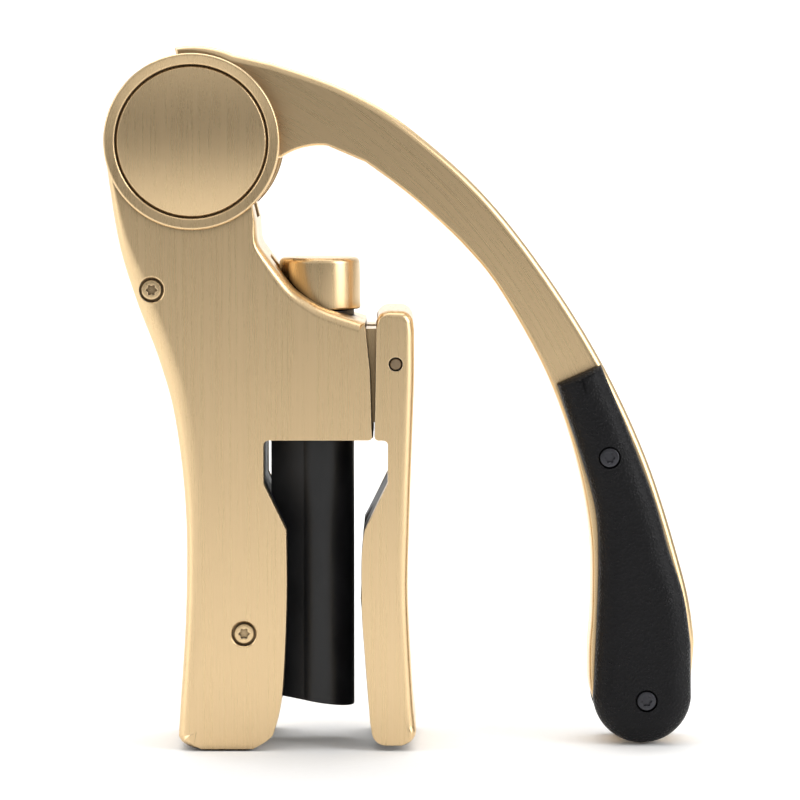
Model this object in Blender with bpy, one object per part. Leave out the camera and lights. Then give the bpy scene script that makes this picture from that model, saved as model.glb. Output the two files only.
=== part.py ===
"""Lever corkscrew: a geared lever lifts a self-turning worm between two bottle jaws.

Lengths are in millimetres in the constants and turned into metres as meshes are made.
X runs from the body to the lever tip, Z is up, the front face looks along -Y.
X = 0 is the worm axis until centre_on_origin() moves the whole assembly.
"""
import math

import bmesh
import bpy
from mathutils import Matrix, Vector

MM = 0.001
GAP = 0.3                    # clearance between pieces that touch
CREASE = 35.0                # degrees above which an edge is shaded sharp

# body
BODY_HALF_DEPTH = 20.0       # outer faces of the two shells
PLATE = 3.0                  # thickness of a shell's face
RIM = 2.4                    # thickness of a shell's side walls
SHELL_ROUND = 4.0            # radius along the outer edge of a shell's face
SHARP = 0.05                 # share of the radius left along the edges that meet the jaws
BASE_TO_AXLE = 157.1         # lever axle above the base
AXLE_X = -32.3
HEAD_RADIUS = 22.3
JAW_TOP = BASE_TO_AXLE - 76.9        # top of the window between the jaws
WINDOW_LEFT = -14.0
BRIDGE_RIGHT = 13.9
NECK_RADIUS = 14.4           # bottle neck the liners close on
LINER_WALL = 1.5             # thinnest part of a liner
LINER_BOTTOM = 5.0

# head trim
BEZEL_RADIUS = 22.55
CAP_RADIUS = 19.4
CAP_FACE = BODY_HALF_DEPTH + 2.5
BEZEL_FACE = BODY_HALF_DEPTH + 1.8

# lever
LEVER_HALF_DEPTH = 7.0
HUB_RADIUS = 18.8
HUB_SHOULDER = 24.7
AXLE_RADIUS = 4.0
GRIP_FACE = 12.5

# gear train
MODULE = 1.0
DRIVE_TEETH = 36
IDLER_TEETH = 22
PINION_TEETH = 18
GEAR_HALF_WIDTH = 4.0
BACKLASH = 0.25
RACK_PITCH_X = -11.35
PINION_Z = BASE_TO_AXLE - 46.3
SMALL_AXLE = 1.6
RACK_TOP = BASE_TO_AXLE - 44.1
RACK_BOTTOM = RACK_TOP - 55.0

# worm and guide tube
TUBE_RADIUS = 9.0
TUBE_WALL = 1.4
KEEL_LEFT = -12.6
KEEL_HALF = 5.8
TUBE_BOTTOM = 9.0
TUBE_TOP = BASE_TO_AXLE - 44.0
TUBE_SLANT = 0.16            # rise of the tube's lower edge towards the keel
WORM_LEAD = 9.6
WORM_CENTRE = 3.0
WIRE_RADIUS = 1.2
SHANK_RADIUS = 2.0
FLANGE_RADIUS = 4.5
WORM_TIP = 12.5
HELIX_TOP = BASE_TO_AXLE - 83.1
LUG_Z = 15.0
KNOB_RADIUS = TUBE_RADIUS + 1.7
KNOB_BOTTOM = TUBE_TOP + GAP
KNOB_TOP = KNOB_BOTTOM + 13.6
CARRIER_BOTTOM = RACK_TOP - 8.7
CARRIER_THICKNESS = 5.0
CARRIER_RADIUS = TUBE_RADIUS - TUBE_WALL - GAP
SCREW_X = 1.6 - CARRIER_RADIUS       # screws between the rack and the worm carrier
SCREW_Y = 2.3

# clamp jaw
PIN_X, PIN_Z = 19.9, BASE_TO_AXLE - 57.1
PIN_RADIUS = 1.55
JAW_ROUND = 2.7              # radius along the outer edge of the clamp jaw's faces
JAW_WALL = 2.5               # outer wall of the clamp jaw beside its liner
SPRING_RADIUS = 2.35          # centre line of the closing spring's coils
SPRING_WIRE = 0.45
SPRING_HALF = 3.4
SPRING_TURNS = 4.25

UPPER_SCREW = (AXLE_X - 10.5, BASE_TO_AXLE - 38.0)
LOWER_SCREW = (-19.3, 30.2)
SCREW_HEAD = 2.6
SCREW_SINK = 3.2             # counterbore round a screw head
SCREW_SHANK = 1.3
UPPER_GRIP_SCREW = (AXLE_X + 107.7, BASE_TO_AXLE - 81.9)
LOWER_GRIP_SCREW = (AXLE_X + 117.6, BASE_TO_AXLE - 145.6)
INSERT_RADIUS = 2.1

AXLE = Vector((AXLE_X, BASE_TO_AXLE))
PINION = Vector((RACK_PITCH_X - MODULE * PINION_TEETH / 2, PINION_Z))


def gear_radius(teeth):
    """Pitch radius of a gear."""
    return MODULE * teeth / 2


def idler_centre():
    """Where the idler meshes with both the drive gear and the pinion, on the left."""
    to_axle = gear_radius(DRIVE_TEETH) + gear_radius(IDLER_TEETH)
    to_pinion = gear_radius(IDLER_TEETH) + gear_radius(PINION_TEETH)
    line = PINION - AXLE
    along = (to_axle ** 2 - to_pinion ** 2 + line.length_squared) / (2 * line.length)
    aside = math.sqrt(to_axle ** 2 - along ** 2)
    unit = line.normalized()
    return AXLE + unit * along + Vector((unit.y, -unit.x)) * aside


IDLER = idler_centre()


# ---------------------------------------------------------------- helpers

def clear_scene():
    """Remove the start-up objects."""
    for obj in list(bpy.data.objects):
        bpy.data.objects.remove(obj, do_unlink=True)


def material(name, colour, roughness, metallic):
    """Principled material, made once for each name."""
    mat = bpy.data.materials.get(name)
    if mat is None:
        mat = bpy.data.materials.new(name)
        mat.use_nodes = True
        shader = mat.node_tree.nodes["Principled BSDF"]
        shader.inputs["Base Color"].default_value = (*colour, 1.0)
        shader.inputs["Roughness"].default_value = roughness
        shader.inputs["Metallic"].default_value = metallic
    return mat


def gold():
    return material("satin_gold", (0.62, 0.45, 0.24), 0.38, 1.0)


def steel():
    return material("dark_steel", (0.10, 0.10, 0.11), 0.40, 1.0)


def bright():
    return material("bright_steel", (0.60, 0.60, 0.62), 0.30, 1.0)


def black():
    return material("black_plastic", (0.012, 0.012, 0.013), 0.35, 0.0)


def rubber():
    return material("black_rubber", (0.02, 0.02, 0.022), 0.75, 0.0)


def brass():
    return material("brass", (0.72, 0.53, 0.22), 0.35, 1.0)


def add_object(name, bm, mat, origin=(0.0, 0.0, 0.0)):
    """Object from a bmesh in millimetres, with its origin at the given point."""
    bmesh.ops.recalc_face_normals(bm, faces=bm.faces)
    bm.transform(Matrix.Scale(MM, 4) @ Matrix.Translation(-Vector(origin)))
    mesh = bpy.data.meshes.new(name)
    bm.to_mesh(mesh)
    bm.free()
    mesh.shade_smooth()
    mesh.set_sharp_from_angle(angle=math.radians(CREASE))
    obj = bpy.data.objects.new(name, mesh)
    obj.location = Vector(origin) * MM
    if mat is not None:
        mesh.materials.append(mat)
    bpy.context.scene.collection.objects.link(obj)
    return obj


def combine(obj, tool, operation):
    """Cut a tool out of an object, or add it; the tool itself is not shown."""
    tool.hide_render = True
    tool.display_type = "WIRE"
    mod = obj.modifiers.new(operation.lower(), "BOOLEAN")
    mod.operation = operation
    mod.solver = "EXACT"
    mod.object = tool


def arc(centre, radius, start, end, steps):
    """Points of an arc, angles in degrees."""
    cx, cy = centre
    turn = [math.radians(start + (end - start) * i / steps) for i in range(steps + 1)]
    return [(cx + radius * math.cos(t), cy + radius * math.sin(t)) for t in turn]


def smooth(points, steps):
    """Curve through the given points, without the last one."""
    ends = [points[0]] + list(points) + [points[-1]]
    curve = []
    for p0, p1, p2, p3 in zip(ends, ends[1:], ends[2:], ends[3:]):
        for i in range(steps):
            t = i / steps
            curve.append(tuple(
                0.5 * (2 * b + (c - a) * t + (2 * a - 5 * b + 4 * c - d) * t * t
                       + (3 * b - a - 3 * c + d) * t ** 3)
                for a, b, c, d in zip(p0, p1, p2, p3)))
    return curve


def from_axle(points):
    """Points given from the lever axle."""
    return [(AXLE.x + x, AXLE.y + z) for x, z in points]


def inset(outline, amount, shares):
    """Outline moved inwards, each point by its own share of the amount, corners kept sharp."""
    count = len(outline)
    points = [Vector(p) for p in outline]
    area = sum(a.x * b.y - b.x * a.y for a, b in zip(points, points[1:] + points[:1]))
    turn = 1 if area > 0 else -1
    moved = []
    for i, point in enumerate(points):
        before = (point - points[i - 1]).normalized()
        after = (points[(i + 1) % count] - point).normalized()
        first, second = Vector((-before.y, before.x)), Vector((-after.y, after.x))
        step = turn * amount * shares[i] / (1 + first.dot(second))
        moved.append(point + (first + second) * step)
    return moved


def joined(runs):
    """Outline from runs of points, each with the edge's share of the radius at its two ends."""
    outline, shares = [], []
    for points, first, last in runs:
        for i, point in enumerate(points):
            outline.append(point)
            shares.append(first + (last - first) * i / max(1, len(points) - 1))
    return outline, shares


def add_prism(bm, outline, low, high, axis="Y", low_round=0.0, high_round=0.0, steps=3,
              shares=None):
    """Solid from an outline, along Y (outline in X, Z) or Z (outline in X, Y).

    low_round and high_round are the radii along the edges of the two end faces, and
    shares gives each point's share of them.
    """
    shares = shares or [1.0] * len(outline)

    def corner(point, level):
        return (point[0], level, point[1]) if axis == "Y" else (point[0], point[1], level)

    inward = 1 if high > low else -1
    levels = []
    for end, radius, way in ((low, low_round, inward), (high, high_round, -inward)):
        stops = []
        for i in range(steps + 1 if radius else 1):
            angle = math.pi / 2 * (1 - i / steps)
            stops.append((end + way * radius * (1 - math.sin(angle)),
                          radius * (1 - math.cos(angle)) if radius else 0.0))
        levels.append(stops)
    rings = []
    for level, amount in sorted(levels[0] + levels[1], key=lambda stop: stop[0] * inward):
        spots = inset(outline, amount, shares) if amount else outline
        rings.append([bm.verts.new(corner(p, level)) for p in spots])
    bm.faces.new(rings[0])
    bm.faces.new(rings[-1])
    for lower, upper in zip(rings, rings[1:]):
        for i in range(len(outline)):
            j = (i + 1) % len(outline)
            bm.faces.new((lower[i], lower[j], upper[j], upper[i]))


def prism(name, outline, low, high, mat, axis="Y", origin=(0.0, 0.0, 0.0), **rounds):
    bm = bmesh.new()
    add_prism(bm, outline, low, high, axis, **rounds)
    return add_object(name, bm, mat, origin)


def add_lathe(bm, profile, centre, axis="Y", sides=24):
    """Turned solid. The profile is (radius, level) from one end to the other.

    A profile that starts and ends on radius 0 is a plain solid; any other is a ring.
    """
    rings = []
    for radius, level in profile:
        if radius == 0:
            spots = [(0.0, 0.0)]
        else:
            spots = arc((0.0, 0.0), radius, 0, 360 - 360 / sides, sides - 1)
        ring = []
        for a, b in spots:
            if axis == "Y":
                ring.append(bm.verts.new((centre[0] + a, level, centre[1] + b)))
            else:
                ring.append(bm.verts.new((centre[0] + a, centre[1] + b, level)))
        rings.append(ring)
    pairs = list(zip(rings, rings[1:]))
    if profile[0][0] != 0:
        pairs.append((rings[-1], rings[0]))
    for lower, upper in pairs:
        for i in range(sides):
            j = (i + 1) % sides
            corners = [lower[i % len(lower)], lower[j % len(lower)],
                       upper[j % len(upper)], upper[i % len(upper)]]
            distinct = list(dict.fromkeys(corners))
            if len(distinct) > 2:
                bm.faces.new(distinct)


def lathe(name, profile, centre, mat, axis="Y", sides=24, origin=(0.0, 0.0, 0.0)):
    bm = bmesh.new()
    add_lathe(bm, profile, centre, axis, sides)
    return add_object(name, bm, mat, origin)


def add_wire(bm, centres, radii, sides=8):
    """Round wire through a list of points, one radius for each."""
    rings = []
    across = Vector((1, 0, 0))
    for i, (centre, radius) in enumerate(zip(centres, radii)):
        step = 1
        while (centres[min(i + step, len(centres) - 1)] - centres[max(i - step, 0)]).length < 0.01:
            step += 1
        ahead = centres[min(i + step, len(centres) - 1)] - centres[max(i - step, 0)]
        ahead.normalize()
        across = (across - ahead * across.dot(ahead)).normalized()
        upward = ahead.cross(across)
        rings.append([bm.verts.new(centre + (across * c + upward * s) * radius)
                      for c, s in arc((0, 0), 1, 0, 360 - 360 / sides, sides - 1)])
    for lower, upper in zip(rings, rings[1:]):
        for i in range(sides):
            j = (i + 1) % sides
            bm.faces.new((lower[i], lower[j], upper[j], upper[i]))
    bm.faces.new(rings[0])
    bm.faces.new(rings[-1])


def rod(radius, low, high, chamfer=0.3):
    """Profile of a plain round rod with broken edges."""
    return [(0, low), (radius - chamfer, low), (radius, low + chamfer),
            (radius, high - chamfer), (radius - chamfer, high), (0, high)]


def sleeve(outer, inner, low, high):
    """Profile of a plain ring."""
    return [(inner, low), (outer, low), (outer, high), (inner, high)]


# ---------------------------------------------------------------- body

def left_edge():
    """Outer edge of the body from the foot up to the head."""
    return [(-36.4, 3.2), (-36.0, 10.4), (-34.4, 36.5)] + from_axle(
        [(-2.1, -94.7), (-4.7, -71.4), (-8.8, -56.0), (-14.6, -40.5), (-19.1, -25.2),
         (-HEAD_RADIUS, -4.0)])


def neck_edge():
    """Hollow edge of the body from the head down to the bridge."""
    return from_axle([(16.5, -20.3), (16.9, -25.5), (18.6, -28.5), (22.5, -33.7),
                      (26.1, -38.0), (30.7, -41.2), (35.3, -43.5), (44.4, -46.5)])


def jaw_edge():
    """Edge of the fixed jaw from the window down to the foot."""
    return [(WINDOW_LEFT, JAW_TOP - 11.0), (-8.2, JAW_TOP - 23.0), (-8.1, 39.1), (-9.2, 15.7),
            (-11.3, 5.2), (-13.1, 2.4), (-17.0, 0.0)]


def shell_outline():
    """Body seen from the front, with the shares of its edge radius.

    The edge is well rounded from the foot up the left side and down the neck, and sharp
    round the head, which the ring covers, and along the bridge, the window and the jaw.
    """
    left = smooth(left_edge(), 3)
    return joined([
        ([(-30.5, 0.0), (-34.2, 0.8)], SHARP, 0.5),
        (left[:-3], 1.0, 1.0), (left[-3:], 0.8, 0.2),
        (arc(AXLE, HEAD_RADIUS, 185, -46, 28), SHARP, SHARP),
        (smooth(neck_edge()[:3], 2), 0.2, 0.7), (smooth(neck_edge()[2:], 2), 0.75, 0.75),
        ([neck_edge()[-1], (13.4, PIN_Z - 2.0)], SHARP, SHARP),
        (arc((BRIDGE_RIGHT - 1.0, JAW_TOP + 1.0), 1.0, 0, -90, 3), SHARP, SHARP),
        (arc((WINDOW_LEFT + 1.5, JAW_TOP - 1.5), 1.5, 90, 180, 4), SHARP, SHARP),
        (jaw_edge(), SHARP, SHARP)])


def pocket_outline():
    """Hollow inside the shells, open towards the lever and the window."""
    wall = [(x + RIM, z) for x, z in left_edge()[4:8]]
    strip = from_axle([(15.0, -14.9), (14.9, -16.9), (15.1, -25.6)])
    roof = [(x - 0.64 * RIM, z - 0.77 * RIM) for x, z in neck_edge()[2:7]]
    inner = BRIDGE_RIGHT - RIM
    right = [(inner, AXLE.y - 49.5), (inner, JAW_TOP - 8)]
    floor = [(-16.0, JAW_TOP - 8), (-16.0, JAW_TOP + 4.6), (-31.5, JAW_TOP + 4.6)]
    head = arc(AXLE, HEAD_RADIUS - RIM, 200, 62, 14)
    mouth = from_axle([(12.3, 24.9), (34.3, 18.9), (34.3, -9.1), (24.3, -14.9)])
    return strip + roof + right + floor + wall + head + mouth


def shell(name, side):
    """One half of the body; side is -1 for the front and +1 for the back."""
    near, face = side * GAP / 2, side * BODY_HALF_DEPTH
    outline, shares = shell_outline()
    body = prism(name, outline, near, face, gold(), high_round=SHELL_ROUND, shares=shares)

    combine(body, prism(name + "_pocket", pocket_outline(), -side, face - side * PLATE, None),
            "DIFFERENCE")
    bm = bmesh.new()
    add_lathe(bm, [(0, KNOB_BOTTOM - GAP), (KNOB_RADIUS + GAP, KNOB_BOTTOM - GAP),
                   (KNOB_RADIUS + GAP, KNOB_TOP + 6), (0, KNOB_TOP + 6)], (0, 0), "Z", 40)
    combine(body, add_object(name + "_knob_seat", bm, None), "DIFFERENCE")
    depth = BODY_HALF_DEPTH - PLATE
    room = [(-NECK_RADIUS - LINER_WALL - GAP, -depth), (BRIDGE_RIGHT + 1, -depth),
            (BRIDGE_RIGHT + 1, depth), (-NECK_RADIUS - LINER_WALL - GAP, depth)]
    combine(body, prism(name + "_liner_room", room, -5.0, JAW_TOP + 1.0, None, "Z"),
            "DIFFERENCE")
    combine(body, prism(name + "_tube_way", tube_outline(GAP), JAW_TOP - 6, KNOB_TOP + 24,
                        None, "Z"), "DIFFERENCE")
    bm = bmesh.new()
    add_lathe(bm, [(0, -side), (HUB_SHOULDER + 0.9, -side), (HUB_SHOULDER + 0.9, side * 8.5),
                   (0, side * 8.5)], AXLE, "Y", 48)
    combine(body, add_object(name + "_lever_slot", bm, None), "DIFFERENCE")

    bm = bmesh.new()
    inner = face - side * (PLATE - 0.5)
    tongue = arc((PIN_X, PIN_Z), PIN_RADIUS + 1.45, -90, 60, 8) + [
        (15.5, PIN_Z + 9.0), (12.2, PIN_Z + 9.0), (12.6, PIN_Z - 6.5)]
    add_prism(bm, tongue, side * (SPRING_HALF + 0.9), face - side * (PLATE + 0.5))
    seat = side * (GEAR_HALF_WIDTH + GAP)
    for centre, radius in ((IDLER, SMALL_AXLE + 1.6), (PINION, SMALL_AXLE + 1.8)):
        add_lathe(bm, [(0, seat), (radius, seat), (radius, inner), (0, inner)], centre)
    add_lathe(bm, [(0, near), (3.3, near), (3.3, inner), (0, inner)], UPPER_SCREW)
    combine(body, add_object(name + "_bosses", bm, None), "UNION")

    bm = bmesh.new()
    beyond = face + side * 2
    axle_hole = AXLE_RADIUS + GAP
    inside = side * (LEVER_HALF_DEPTH + 3)
    add_lathe(bm, [(0, inside), (axle_hole, inside), (axle_hole, beyond), (0, beyond)], AXLE)
    blind = face - side * 1.2
    for centre in (IDLER, PINION):
        add_lathe(bm, [(0, side * 2), (SMALL_AXLE + GAP, side * 2),
                       (SMALL_AXLE + GAP, blind), (0, blind)], centre)
    pin_hole = PIN_RADIUS + GAP
    add_lathe(bm, [(0, -side), (pin_hole, -side), (pin_hole, inner), (0, inner)],
              (PIN_X, PIN_Z))
    for centre in (UPPER_SCREW, LOWER_SCREW):
        if side < 0:
            add_lathe(bm, [(0, 2), (SCREW_SHANK + GAP, 2), (SCREW_SHANK + GAP, face + 2.4),
                           (SCREW_SINK, face + 2.4), (SCREW_SINK, face - 2), (0, face - 2)],
                      centre)
        else:
            wide = INSERT_RADIUS + GAP
            add_lathe(bm, [(0, -2), (SCREW_SHANK + GAP, -2), (SCREW_SHANK + GAP, 4.7),
                           (wide, 4.7), (wide, 14.3), (0, 14.3)], centre)
    combine(body, add_object(name + "_holes", bm, None), "DIFFERENCE")


def head_trim(name, side):
    """Raised ring and cap on one face of the head."""
    base = side * (BODY_HALF_DEPTH + GAP)
    rim = side * BEZEL_FACE
    lathe("head_ring_" + name,
          [(CAP_RADIUS + GAP, base), (BEZEL_RADIUS, base), (BEZEL_RADIUS, rim - side * 0.5),
           (BEZEL_RADIUS - 0.5, rim), (CAP_RADIUS + GAP, rim)], AXLE, gold(), sides=48)
    top = side * CAP_FACE
    lathe("head_cap_" + name,
          [(0, base), (CAP_RADIUS, base), (CAP_RADIUS, top - side * 0.9),
           (CAP_RADIUS - 0.9, top), (0, top)], AXLE, gold(), sides=48)


def screw(name, centre, head_y, length, head_radius, mat, origin=(0.0, 0.0, 0.0)):
    """Cap screw along Y with a socket; the head looks to the front."""
    y = head_y
    profile = [(0, y + 1.0), (1.1, y + 0.9), (1.3, y), (head_radius - 0.3, y),
               (head_radius, y + 0.3), (head_radius, y + 1.7), (SCREW_SHANK, y + 1.7),
               (SCREW_SHANK, y + length - 0.4), (SCREW_SHANK - 0.4, y + length),
               (0, y + length)]
    lathe(name, profile, centre, mat, sides=20, origin=origin)


def insert(name, centre, low, high, origin=(0.0, 0.0, 0.0)):
    """Threaded brass insert a screw bites into."""
    lathe(name, sleeve(INSERT_RADIUS, SCREW_SHANK + GAP, low, high), centre, brass(), sides=20,
          origin=origin)


def liner(name, back, edge, high, origin=(0.0, 0.0, 0.0)):
    """Rubber liner that fills one jaw behind its face plates.

    It is bored for the bottle's neck and trimmed along the edge, which runs from the
    window down to the foot; back is the X of its flat back.
    """
    side = math.copysign(1, back)
    depth = BODY_HALF_DEPTH - PLATE - GAP
    half = math.degrees(math.acos(2.0 / NECK_RADIUS)) if depth > NECK_RADIUS else \
        math.degrees(math.asin((depth - 0.5) / NECK_RADIUS))
    middle = 0 if side > 0 else 180
    bore = arc((0, 0), NECK_RADIUS, middle + half, middle - half, 20)
    outline = [(back, -side * depth), (back, side * depth), (bore[0][0], side * depth)] + bore + [
        (bore[-1][0], -side * depth)]
    block = prism(name, outline, LINER_BOTTOM, high, rubber(), "Z", origin)
    trim = [(edge[0][0], high + 5)] + edge + [(edge[-1][0], -5), (-side * 8, -5),
                                              (-side * 8, high + 5)]
    combine(block, prism(name + "_trim", trim, -depth - 2, depth + 2, None), "DIFFERENCE")


def tube_outline(spread=0.0):
    """Outer outline of the guide tube: round on the right, a keel on the left."""
    radius = TUBE_RADIUS + spread
    return arc((0, 0), radius, -118, 118, 18) + [
        (KEEL_LEFT - spread, KEEL_HALF + spread), (KEEL_LEFT - spread, -KEEL_HALF - spread)]


def tube_guide():
    """Block inside the bridge that the tube slides through."""
    depth = BODY_HALF_DEPTH - PLATE - 0.4
    left, right = KEEL_LEFT - 2.9, BRIDGE_RIGHT - RIM - GAP
    block = prism("tube_guide", [(left, -depth), (right, -depth), (right, depth), (left, depth)],
                  JAW_TOP + 5.0, PINION_Z - 10.8, black(), "Z")
    combine(block, prism("tube_guide_bore", tube_outline(GAP), JAW_TOP, PINION_Z, None, "Z"),
            "DIFFERENCE")


def fixed_pieces():
    """Everything that belongs to the body and does not move."""
    shell("front_shell", -1)
    shell("back_shell", 1)
    head_trim("front", -1)
    head_trim("back", 1)
    reach = BODY_HALF_DEPTH - GAP
    lathe("lever_axle", rod(AXLE_RADIUS, -reach, reach), AXLE, bright())
    for name, side in (("front", -1), ("back", 1)):
        lathe("hub_spacer_" + name,
              sleeve(AXLE_RADIUS + 2.5, AXLE_RADIUS + GAP, side * (LEVER_HALF_DEPTH + GAP),
                     side * (BODY_HALF_DEPTH - PLATE - GAP)), AXLE, bright())
    for name, centre in (("idler_axle", IDLER), ("pinion_axle", PINION)):
        lathe(name, rod(SMALL_AXLE, 1.5 - BODY_HALF_DEPTH, BODY_HALF_DEPTH - 1.5), centre,
              bright(), sides=16)
    for name, centre in (("upper", UPPER_SCREW), ("lower", LOWER_SCREW)):
        head_y = 0.6 - BODY_HALF_DEPTH
        screw("body_screw_" + name, centre, head_y, 12.6 - head_y, SCREW_HEAD, gold())
        insert("body_insert_" + name, centre, 5.0, 14.0)
    edge = [(x - GAP, z) for x, z in jaw_edge()[:5]]
    liner("fixed_jaw_pad", -NECK_RADIUS - LINER_WALL, edge, JAW_TOP + 0.7)
    tube_guide()
    lathe("jaw_pin", rod(PIN_RADIUS, -reach, reach), (PIN_X, PIN_Z), bright(), sides=20)


# ---------------------------------------------------------------- lever

def lever_outline():
    """Arm seen from the front, from the hub down to the tip."""
    hub = arc(AXLE, HUB_RADIUS, 102, 344, 26)
    arch = arc((AXLE.x + 32.6, AXLE.y - 19.0), 17.8, 124, 84, 4)
    under = smooth(from_axle([(44.3, -5.5), (52.8, -11.7), (60.6, -18.2), (70.5, -27.7),
                              (79.3, -38.7), (91.1, -59.7), (98.7, -80.6), (102.9, -101.6),
                              (103.4, -121.1), (102.9, -138.3), (105.3, -149.1)]), 3)
    tip = arc((AXLE.x + 116.9, AXLE.y - 143.9), 12.4, 205, 350, 10)
    over = smooth(from_axle([(130.1, -135.0), (130.1, -127.9), (127.0, -112.1),
                             (116.8, -80.6), (101.0, -49.2), (78.5, -17.7), (55.9, 3.3),
                             (38.3, 13.8), (19.2, 20.6)]), 4)
    shoulder = arc(AXLE, HUB_SHOULDER, 66, 102, 6)
    return hub + arch + under + tip + over + shoulder


def grip_outline():
    """Black cover of the lower arm."""
    left = smooth(from_axle([(94.2, -63.0), (96.6, -70.8), (100.5, -82.3), (104.2, -95.6),
                             (105.1, -109.0), (104.7, -125.1), (104.0, -142.1)]), 3)
    tip = arc((AXLE.x + 116.6, AXLE.y - 144.2), 12.9, 183, 355, 14)
    right = from_axle([(129.3, -131.4), (127.4, -118.6), (123.6, -106.9), (119.8, -93.8),
                       (115.1, -81.3), (111.0, -71.1), (105.5, -58.0)])
    return left + tip + smooth(right, 3) + right[-1:]


def gear_outline(centre, teeth, first):
    """Involute gear with a tooth centred on the direction `first` (radians)."""
    pitch, flank = gear_radius(teeth), math.radians(20)
    base, root, tip = pitch * math.cos(flank), pitch - 1.25 * MODULE, pitch + MODULE
    half = math.pi / (2 * teeth) - BACKLASH / (2 * pitch)
    low = max(base, root)
    radii = [low + (tip - low) * i / 4 for i in range(5)]

    def half_angle(radius):
        angle = math.acos(min(1.0, base / radius))
        return half + (math.tan(flank) - flank) - (math.tan(angle) - angle)

    side = [(r, half_angle(r)) for r in radii]
    if root < base:
        side = [(root, side[0][1])] + side
    outline = []
    for k in range(teeth):
        middle = first + 2 * math.pi * k / teeth
        tooth = [(r, middle - a) for r, a in side] + [(r, middle + a) for r, a in side[::-1]]
        outline += [(centre[0] + r * math.cos(a), centre[1] + r * math.sin(a))
                    for r, a in tooth]
    return outline


def phases():
    """Tooth directions of the three gears and the height of one rack tooth."""
    pitches = [2 * math.pi / n for n in (DRIVE_TEETH, IDLER_TEETH, PINION_TEETH)]
    to_idler = IDLER - AXLE
    drive = math.atan2(to_idler.y, to_idler.x)
    idler = drive + math.pi + pitches[1] / 2
    to_pinion = PINION - IDLER
    line = math.atan2(to_pinion.y, to_pinion.x)
    pinion = line + math.pi - (0.5 - (line - idler) / pitches[1]) * pitches[2]
    rack = PINION.y + (pinion / pitches[2] + 0.5) * math.pi * MODULE
    return drive, idler, pinion, rack


def bored(obj, centre, radius, half):
    """Cut a round bore along Y through an object."""
    cutter = lathe(obj.name + "_bore_" + str(len(obj.modifiers)),
                   [(0, -half), (radius, -half), (radius, half), (0, half)], centre, None)
    combine(obj, cutter, "DIFFERENCE")


def gear(name, centre, teeth, first, mat, bore):
    """Gear with a bore, its origin on its axle."""
    obj = prism(name, gear_outline(centre, teeth, first), -GEAR_HALF_WIDTH, GEAR_HALF_WIDTH,
                mat, origin=(centre[0], 0, centre[1]))
    bored(obj, centre, bore, GEAR_HALF_WIDTH + 2)
    return obj


def rivet_spots():
    """Centres of the two rivets through the hub."""
    return [arc(AXLE, AXLE_RADIUS + 7.0, angle, angle, 1)[0] for angle in (40, 220)]


def lever_pieces(first):
    """Arm, the gear in its fork, rivets, grip covers and their screws."""
    origin = (AXLE.x, 0, AXLE.y)
    arm = prism("lever_arm", lever_outline(), -LEVER_HALF_DEPTH, LEVER_HALF_DEPTH, gold(),
                origin=origin, low_round=1.2, high_round=1.2, steps=2)
    slot = GEAR_HALF_WIDTH + GAP
    combine(arm, lathe("lever_arm_fork", [(0, -slot), (20.4, -slot), (20.4, slot), (0, slot)],
                       AXLE, None, sides=40), "DIFFERENCE")
    bm = bmesh.new()
    deep = LEVER_HALF_DEPTH + 2
    holes = [(AXLE, AXLE_RADIUS + GAP)] + [(spot, 1.8) for spot in rivet_spots()] + [
        (UPPER_GRIP_SCREW, SCREW_SHANK + GAP), (LOWER_GRIP_SCREW, SCREW_SHANK + GAP)]
    for centre, radius in holes:
        add_lathe(bm, [(0, -deep), (radius, -deep), (radius, deep), (0, deep)], centre)
    combine(arm, add_object("lever_arm_holes", bm, None), "DIFFERENCE")

    wheel = gear("drive_gear", AXLE, DRIVE_TEETH, first, bright(), AXLE_RADIUS + GAP)
    for number, spot in enumerate(rivet_spots(), 1):
        bored(wheel, spot, 1.8, GEAR_HALF_WIDTH + 2)
        lathe("gear_rivet_%d" % number,
              rod(1.5, -LEVER_HALF_DEPTH + 0.1, LEVER_HALF_DEPTH - 0.1), spot, bright(),
              sides=16, origin=origin)

    for name, side in (("grip_front", -1), ("grip_back", 1)):
        cover = prism(name, grip_outline(), side * (LEVER_HALF_DEPTH + GAP), side * GRIP_FACE,
                      rubber(), origin=origin, high_round=3.0)
        bm = bmesh.new()
        face, inner = side * (GRIP_FACE + 2), side * (LEVER_HALF_DEPTH - 1)
        seat, wide = 2.2 - GRIP_FACE, INSERT_RADIUS + GAP
        for centre in (UPPER_GRIP_SCREW, LOWER_GRIP_SCREW):
            if side < 0:
                profile = [(0, face), (2.9, face), (2.9, seat), (SCREW_SHANK + GAP, seat),
                           (SCREW_SHANK + GAP, inner), (0, inner)]
            else:
                profile = [(0, inner), (wide, inner), (wide, face), (0, face)]
            add_lathe(bm, profile, centre)
        combine(cover, add_object(name + "_holes", bm, None), "DIFFERENCE")
    for name, centre in (("upper", UPPER_GRIP_SCREW), ("lower", LOWER_GRIP_SCREW)):
        head_y = 0.2 - GRIP_FACE
        screw("grip_screw_" + name, centre, head_y, 10.7 - head_y, 2.55, steel(), origin)
        insert("grip_nut_" + name, centre, LEVER_HALF_DEPTH + GAP, GRIP_FACE - 0.5, origin)


# ---------------------------------------------------------------- carriage

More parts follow.
